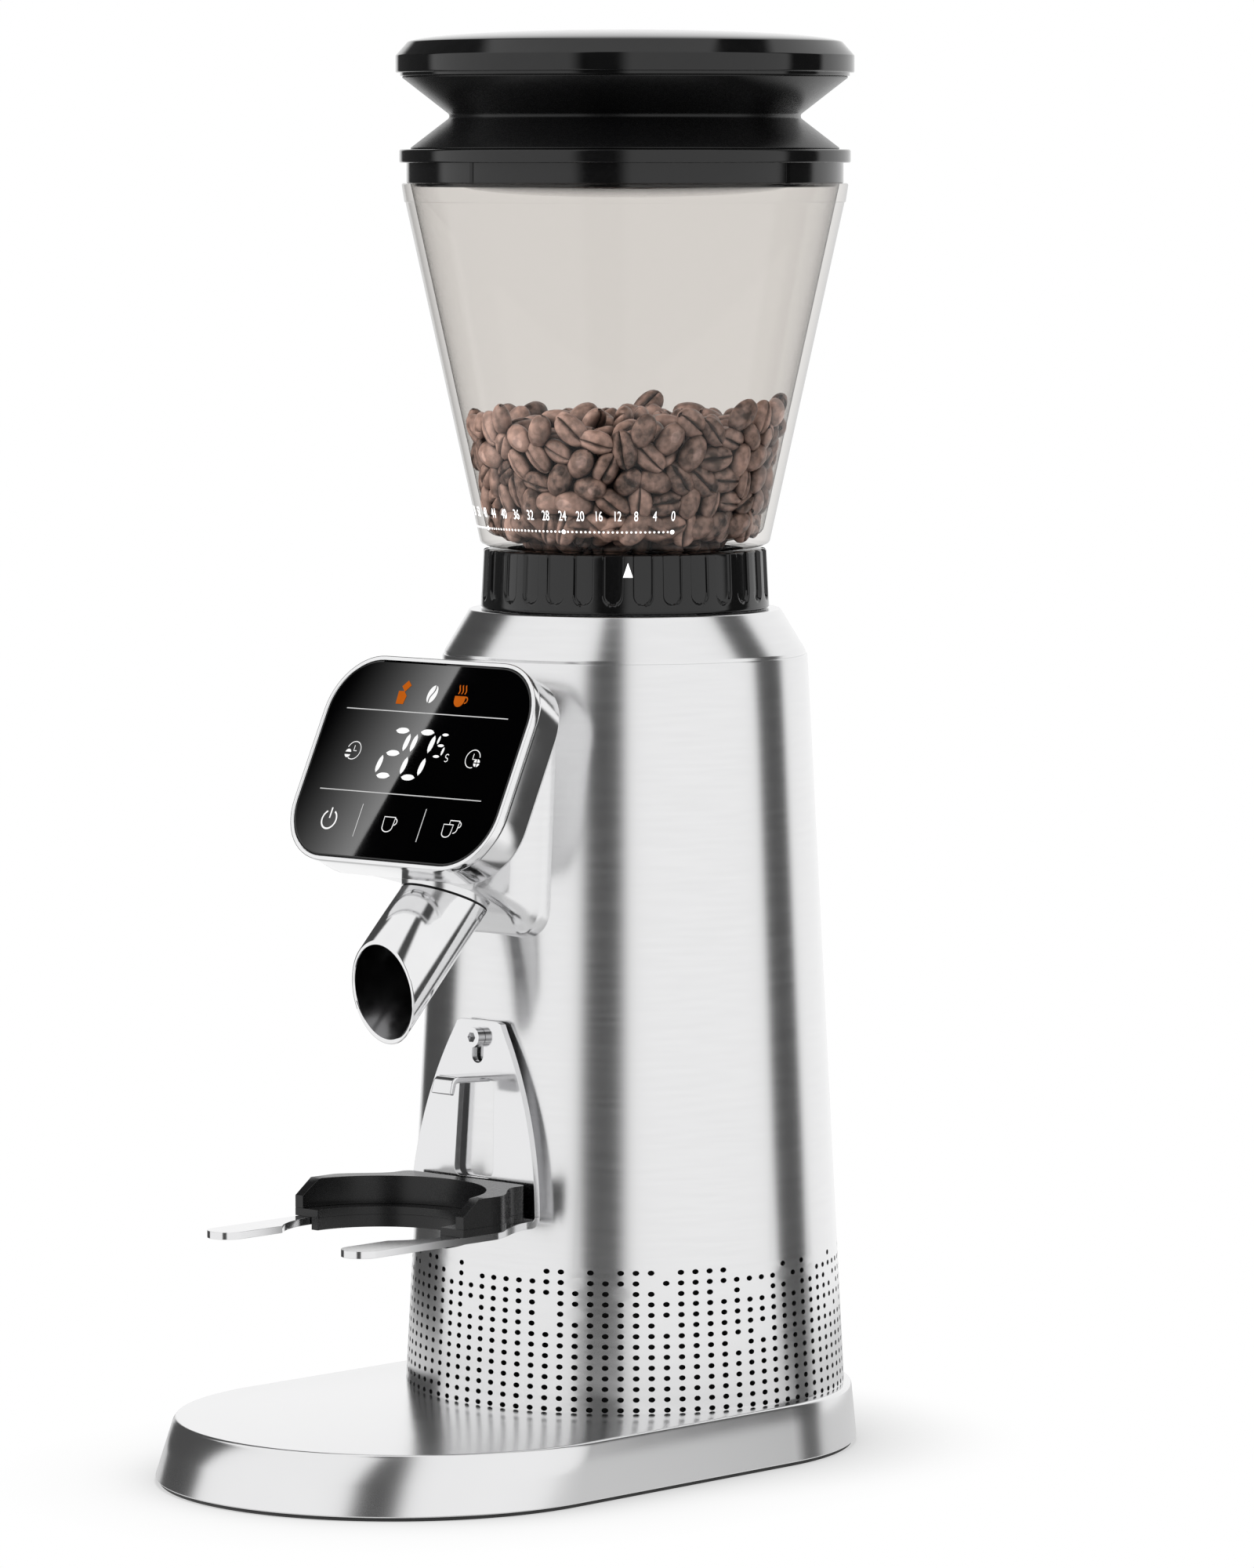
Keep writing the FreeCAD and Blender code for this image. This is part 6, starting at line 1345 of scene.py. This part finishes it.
class GRINDER_OT_spout(Operator):
    """Stub under the neck and the tube that turns forward"""
    bl_idname = "grinder.spout"
    bl_label = "Spout"

    def execute(self, context):
        head = settings().head
        outer = mm(head.spout_radius)
        inner = outer - mm(head.spout_wall)
        angles = [TURN * i / SPOUT_POINTS for i in range(SPOUT_POINTS)]
        fold = Vector((0, math.sin(MITRE), math.cos(MITRE)))
        down = Vector((0, -math.sqrt(0.5), -math.sqrt(0.5)))
        across = Vector((1, 0, 0))
        up = Vector((0, -math.sqrt(0.5), math.sqrt(0.5)))
        turn = Vector((0, SPOUT_Y, MITRE_Z))
        mouth = turn + down * mm(head.spout_length)
        lip = Matrix.Rotation(MOUTH_LEAN, 3, "X") @ Vector((0, -1, 0))

        def stub(radius, lift=None):
            """A ring at the stub's top, or lifted off its slanting foot."""
            ring = []
            for a in angles:
                x, y, z = polar(radius, a, STUB_TOP)
                ring.append((x, SPOUT_Y + y, z if lift is None else MITRE_Z - fold.y / fold.z * y + lift))
            return ring

        def tube(radius, at_mouth, back):
            """A ring a little back from the tube's mouth or from its turn."""
            ring = []
            for a in angles:
                off = across * (radius * math.cos(a)) + up * (radius * math.sin(a))
                near = -fold.dot(off) / fold.dot(down) + back
                far = lip.dot(mouth - turn - off) / lip.dot(down) - back
                ring.append(tuple(turn + off + down * (far if at_mouth else near)))
            return ring

        rings = [stub(outer), stub(outer, SEAM_INSET), stub(outer - SEAM_INSET, SEAM_INSET / 2),
                 stub(inner, SEAM_INSET / 2), stub(inner)]
        add_mesh("stub_skin", bridge(rings), "satin_steel", "housing", (), 40)
        rings = [tube(outer - inset, *where) for inset, *where in TUBE_OUTSIDE]
        rings += [tube(inner - inset, *where) for inset, *where in TUBE_INSIDE]
        add_mesh("spout_skin", bridge(rings), "bright_steel", "housing", ("spout_tube",), 40)
        # The bore's darker steel is painted shade inside the tube.
        bore = bridge([rings[-1], tube(inner, False, 0.1)])
        add_mesh("spout_bore", bore, "bore_steel", "housing", (), 40)
        seam = bridge([tube(outer - SEAM_INSET, False, back) for back in (-SEAM_INSET, SEAM_INSET)])
        add_mesh("spout_seam", seam, "dark_inside", "housing")
        return {"FINISHED"}


# Bracket, fork and cradle


def plate_point(x, y, z):
    """A point on the bracket's leaning plate: across, up, and out from the body."""
    return (x, BRACKET_Y + y * math.sin(BRACKET_LEAN) - z * math.cos(BRACKET_LEAN),
            BRACKET_Z + y * math.cos(BRACKET_LEAN) + z * math.sin(BRACKET_LEAN))


def three_point_arc(first, middle, last, steps=16):
    """Points along the circle through three points, without its ends."""
    a, b, c = complex(*first), complex(*middle), complex(*last)
    w = (c - a) / (b - a)
    centre = a + (b - a) * (w - abs(w) ** 2) / (2j * w.imag)
    start = math.atan2((a - centre).imag, (a - centre).real)
    sweep = (math.atan2((c - centre).imag, (c - centre).real) - start + math.pi) % TURN - math.pi
    turns = [math.degrees(angle) for angle in (start, start + sweep)]
    return arc(centre.real, centre.imag, abs(a - centre), *turns, steps)[1:-1]


def eased(start, end, steps=14):
    """An S-shaped line between two points, upright at both ends."""
    shares = [k / steps for k in range(steps + 1)]
    return [(start[0] + (end[0] - start[0]) * smooth(t), start[1] + (end[1] - start[1]) * t) for t in shares]


class GRINDER_OT_fork(Operator):
    """Sheet bracket with its hook, bent forward into the fork"""
    bl_idname = "grinder.fork"
    bl_label = "Fork"

    def execute(self, context):
        fork = settings().fork
        sheet = mm(fork.sheet)
        outline = mirrored([PLATE_SIDE[0]] + three_point_arc(*PLATE_SIDE) + PLATE_TOP)
        slot = arc(0, SLOT_HIGH, SLOT_RADIUS, 0, 180, 16) + arc(0, SLOT_LOW, SLOT_RADIUS, 180, 360, 16)
        loops = [outline, slot, fillet(WINDOW, closed=True)]
        plate = prism(loops, BRACKET_GAP, BRACKET_GAP + sheet, plate_point)
        rear = BRACKET_Y - BRACKET_GAP - sheet - BEND
        end = arc(ARM_X, ARM_TIP + ARM_HALF, ARM_HALF, 0, -180, 18)
        meet = -math.degrees(math.acos(ARM_INNER / FORK_GAP))
        right = [(PLATE_HALF, rear)] + eased(*FORK_SIDE) + end + arc(0, FORK_Y, FORK_GAP, meet, 90, 40)
        flat = prism([mirrored(right)], BRACKET_Z - sheet, BRACKET_Z)
        rings = []
        for k in range(9):
            a = QUARTER * k / 8
            near, far = [(rear + r * math.cos(a), BRACKET_Z + BEND - r * math.sin(a))
                         for r in (BEND, BEND + sheet)]
            rings.append([(PLATE_HALF, *near), (PLATE_HALF, *far), (-PLATE_HALF, *far), (-PLATE_HALF, *near)])
        add_mesh("bracket_skin", joined(plate, bridge(rings), flat), "fork_steel", "fork", ("fork_bracket",),
                 30, mm(fork.edge))
        line = fillet(HOOK, 8)
        strip = []
        for i, (y, z) in enumerate(line):
            before = line[max(0, i - 1)]
            after = line[min(len(line) - 1, i + 1)]
            along = Vector((after[0] - before[0], after[1] - before[1])).normalized()
            under = (y - along.y * HOOK_THICK, z + along.x * HOOK_THICK)
            strip.append([plate_point(-HOOK_HALF, y, z), plate_point(HOOK_HALF, y, z),
                          plate_point(HOOK_HALF, *under), plate_point(-HOOK_HALF, *under)])
        shape = bridge(strip, True, True)
        add_mesh("hook_skin", shape, "fork_steel", "fork", (), 40, HOOK_EDGE)
        return {"FINISHED"}


class GRINDER_OT_cradle(Operator):
    """Plastic rest for the filter holder"""
    bl_idname = "grinder.cradle"
    bl_label = "Cradle"

    def execute(self, context):
        slope_y = FORK_Y + SLOPE_RUN

        def outline(radius):
            horn = [(HORN_X, y) for y in (HORN_REAR, slope_y, FORK_Y + SLOPE_RUN / 2, FORK_Y)]
            inner = arc(0, FORK_Y, radius, 0, 90, 48)
            return mirrored(fillet(CRADLE_REAR) + eased(*CRADLE_SIDE) + horn + inner)

        def sloped(x, y, z):
            if z == CRADLE_TOP and y < slope_y:
                z -= SLOPE_RISE * (slope_y - y) / SLOPE_RUN
            return (x, y, z)

        section = [(LIP_RADIUS, BRACKET_Z), (LIP_RADIUS, LIP_LOW), (CRADLE_BORE, LIP_LOW),
                   (CRADLE_BORE, BRACKET_Z)]
        rings = []
        for i in range(49):
            a = math.pi * i / 48
            rings.append([(r * math.cos(a), FORK_Y + r * math.sin(a), z) for r, z in section])
        upper = prism([outline(RECESS)], CRADLE_LEDGE, CRADLE_TOP, sloped)
        lower = prism([outline(CRADLE_BORE)], BRACKET_Z, CRADLE_LEDGE)
        edge = mm(settings().fork.cradle_edge)
        add_mesh("cradle_top", upper, "dark_plastic", "fork", ("cradle_rest",), 30, edge)
        add_mesh("cradle_floor", lower, "dark_plastic", "fork", (), 30, FLOOR_EDGE)
        add_mesh("cradle_lip", bridge(rings, True, True), "dark_plastic", "fork", (), 40)
        return {"FINISHED"}


# Inner pieces and stage


class GRINDER_OT_inner(Operator):
    """Finishes for the pieces that keep the shape they have"""
    bl_idname = "grinder.inner"
    bl_label = "Inner pieces"

    def execute(self, context):
        for name, nodes in INNER_FINISHES.items():
            for node in nodes:
                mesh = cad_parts[node].data
                mesh.materials.clear()
                mesh.materials.append(look(name))
        return {"FINISHED"}


def dark_strip(nodes, azimuth, strip, dark, light):
    """Light that sinks within an upright strip."""
    centre, half, blur = strip
    off = nodes.math("SUBTRACT", azimuth, VIEW_AZIMUTH + math.radians(centre))
    away = nodes.math("ABSOLUTE", nodes.math("WRAP", off, math.pi, -math.pi))
    return nodes.ramp(away, math.radians(half - blur), math.radians(half + blur), dark, light, True)


def studio_world():
    """White to the eye, with dark upright strips that show in polished faces."""
    world = bpy.data.worlds.new("studio")
    world.use_nodes = True
    nodes = Nodes(world.node_tree)
    x, y, z = nodes.split(nodes.add("TexCoord").outputs["Generated"])
    azimuth = nodes.math("ARCTAN2", x, nodes.math("MULTIPLY", y, -1.0))
    light = WORLD_LIGHT
    for strip in DARK_STRIPS:
        light = nodes.math("MULTIPLY", dark_strip(nodes, azimuth, strip, STRIP_LIGHT, 1.0), light)
    overhead = nodes.math("MULTIPLY", nodes.ramp(z, *ZENITH, 0.0, 1.0, True), WORLD_LIGHT)
    shine = nodes.math("MAXIMUM", light, overhead)
    glossy = nodes.add("LightPath").outputs["Is Glossy Ray"]
    plain_light = nodes.math("SUBTRACT", 1.0, glossy)
    strength = nodes.math("ADD", nodes.math("MULTIPLY", shine, glossy), plain_light)
    back = nodes.add("Background", {"Color": (1, 1, 1, 1), "Strength": strength})
    nodes.add("OutputWorld", {"Surface": back.outputs[0]})
    return world


def floor_finish():
    """White studio floor with a painted shadow where the base stands; mirrors see a dark strip in it."""
    material, nodes = new_material("studio_floor")
    # Painted shadow: the floor's glow dims by ambient occlusion near the grinder.
    near = nodes.add("AmbientOcclusion", {"Distance": 0.05}, samples=16).outputs["AO"]
    shine = nodes.emission(nodes.ramp(near, 0.45, 0.98, 0.62, 1.0))
    path = nodes.add("LightPath").outputs
    x, y, _ = nodes.split(nodes.add("NewGeometry").outputs["Incoming"])
    azimuth = nodes.math("ARCTAN2", nodes.math("MULTIPLY", x, -1.0), y)
    sheen = nodes.emission(dark_strip(nodes, azimuth, FLOOR_STRIP, FLOOR_STRIP_LIGHT, FLOOR_SHEEN))
    far = nodes.ramp(path["Ray Length"], FLOOR_NEAR, FLOOR_FAR, 0.0, 1.0)
    nodes.surface(nodes.mix(path["Is Glossy Ray"], shine, nodes.mix(far, sheen, nodes.clear())))
    return material


def panel_card(direction):
    """A card seen only in the cover glass, bright towards one slanting edge."""
    material, nodes = new_material("card_light")
    x, y, _ = nodes.split(nodes.add("TexCoord").outputs["Object"])
    across = nodes.math("ADD", x, nodes.math("MULTIPLY", y, CARD_SLANT))
    rising = nodes.ramp(across, CARD_EDGE - CARD_FADE, CARD_EDGE, 0.0, 1.0)
    squared = nodes.math("MULTIPLY", nodes.math("MULTIPLY", rising, rising), CARD_LIGHT)
    shine = nodes.emission(nodes.math("MULTIPLY", squared, nodes.math("LESS_THAN", across, CARD_EDGE)))
    ray = nodes.add("NewGeometry").outputs
    length_along = nodes.add("LightPath").outputs["Ray Length"]
    reach = nodes.add("CombineXYZ", {0: length_along, 1: length_along, 2: length_along}).outputs[0]
    steps_back = {0: ray["Incoming"], 1: reach, 2: ray["Position"]}
    source = nodes.add("VectorMath", steps_back, operation="MULTIPLY_ADD").outputs[0]
    height = nodes.add("VectorMath", {0: source, 1: PANEL_NORMAL}, operation="DOT_PRODUCT").outputs["Value"]
    glass = PANEL_NORMAL.dot(PANEL_CENTRE) - GLASS_DEPTH * MM
    off = nodes.math("ABSOLUTE", nodes.math("SUBTRACT", height, glass))
    nodes.surface(nodes.mix(nodes.math("GREATER_THAN", off, GLASS_SPREAD * MM), shine, nodes.clear()))
    card = square("panel_card", CARD_HALF, material)
    card.location = PANEL_CENTRE + direction * CARD_AWAY
    card.rotation_euler = direction.to_track_quat("Z", "Y").to_euler()
    card.visible_camera = False
    card.visible_diffuse = False
    card.visible_transmission = False
    card.visible_shadow = False
    return card


class GRINDER_OT_stage(Operator):
    """Floor, light and camera"""
    bl_idname = "grinder.stage"
    bl_label = "Stage"

    def execute(self, context):
        stage = settings().stage
        scene = context.scene
        scene.world = studio_world()
        scene.view_settings.view_transform = "Standard"
        floor = square("floor", stage.floor / 2, floor_finish())
        to_camera = Vector(polar(math.cos(stage.pitch), VIEW_AZIMUTH, math.sin(stage.pitch)))
        card = panel_card(2 * PANEL_NORMAL.dot(to_camera) * PANEL_NORMAL - to_camera)
        for name, (azimuth, height, size, power) in LAMPS.items():
            lamp = bpy.data.lights.new(name, "AREA")
            lamp.size = size
            lamp.energy = power
            obj = show(name, lamp)
            obj.location = polar(LAMP_REACH, VIEW_AZIMUTH + math.radians(azimuth), height)
            from_target = obj.location - Vector((0, 0, LAMP_TARGET))
            obj.rotation_euler = from_target.to_track_quat("Z", "Y").to_euler()
            obj.visible_glossy = False
        right = Vector((math.cos(VIEW_AZIMUTH), math.sin(VIEW_AZIMUTH), 0))
        camera = bpy.data.cameras.new("camera")
        camera.lens = stage.lens
        camera.sensor_width = 36.0
        camera.sensor_fit = "AUTO"
        camera.clip_end = 100
        eye = show("camera", camera)
        eye.location = Vector((0, 0, stage.target)) + right * stage.aside + to_camera * stage.distance
        eye.rotation_euler = to_camera.to_track_quat("Z", "Y").to_euler()
        scene.camera = eye
        return {"FINISHED"}


PIECES = (GRINDER_OT_base, GRINDER_OT_body, GRINDER_OT_ring, GRINDER_OT_hopper, GRINDER_OT_beans,
          GRINDER_OT_lid, GRINDER_OT_head, GRINDER_OT_display, GRINDER_OT_neck, GRINDER_OT_spout,
          GRINDER_OT_fork, GRINDER_OT_cradle, GRINDER_OT_inner, GRINDER_OT_stage)


class GRINDER_PT_sidebar(Panel):
    """Pieces of the grinder"""
    bl_idname = "GRINDER_PT_sidebar"
    bl_label = "Coffee grinder"
    bl_space_type = "VIEW_3D"
    bl_region_type = "UI"
    bl_category = "Grinder"

    def draw(self, context):
        for piece in PIECES:
            self.layout.operator(piece.bl_idname)
        for name in GrinderSettings.__annotations__:
            group = getattr(context.scene.grinder, name)
            box = self.layout.box()
            for key in group.__annotations__:
                box.prop(group, key)


CLASSES = (BodySettings, HopperSettings, HeadSettings, ForkSettings, ColourSettings, StageSettings,
           GrinderSettings, *PIECES, GRINDER_PT_sidebar)


def register():
    for cls in CLASSES:
        bpy.utils.register_class(cls)
    bpy.types.Scene.grinder = PointerProperty(type=GrinderSettings, name="Grinder",
                                              description="Grinder settings")


def unregister():
    del bpy.types.Scene.grinder
    for cls in reversed(CLASSES):
        bpy.utils.unregister_class(cls)


def main():
    register()
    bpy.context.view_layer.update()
    for piece in PIECES:
        group, name = piece.bl_idname.split(".")
        getattr(getattr(bpy.ops, group), name)()


if __name__ == "__main__":
    main()
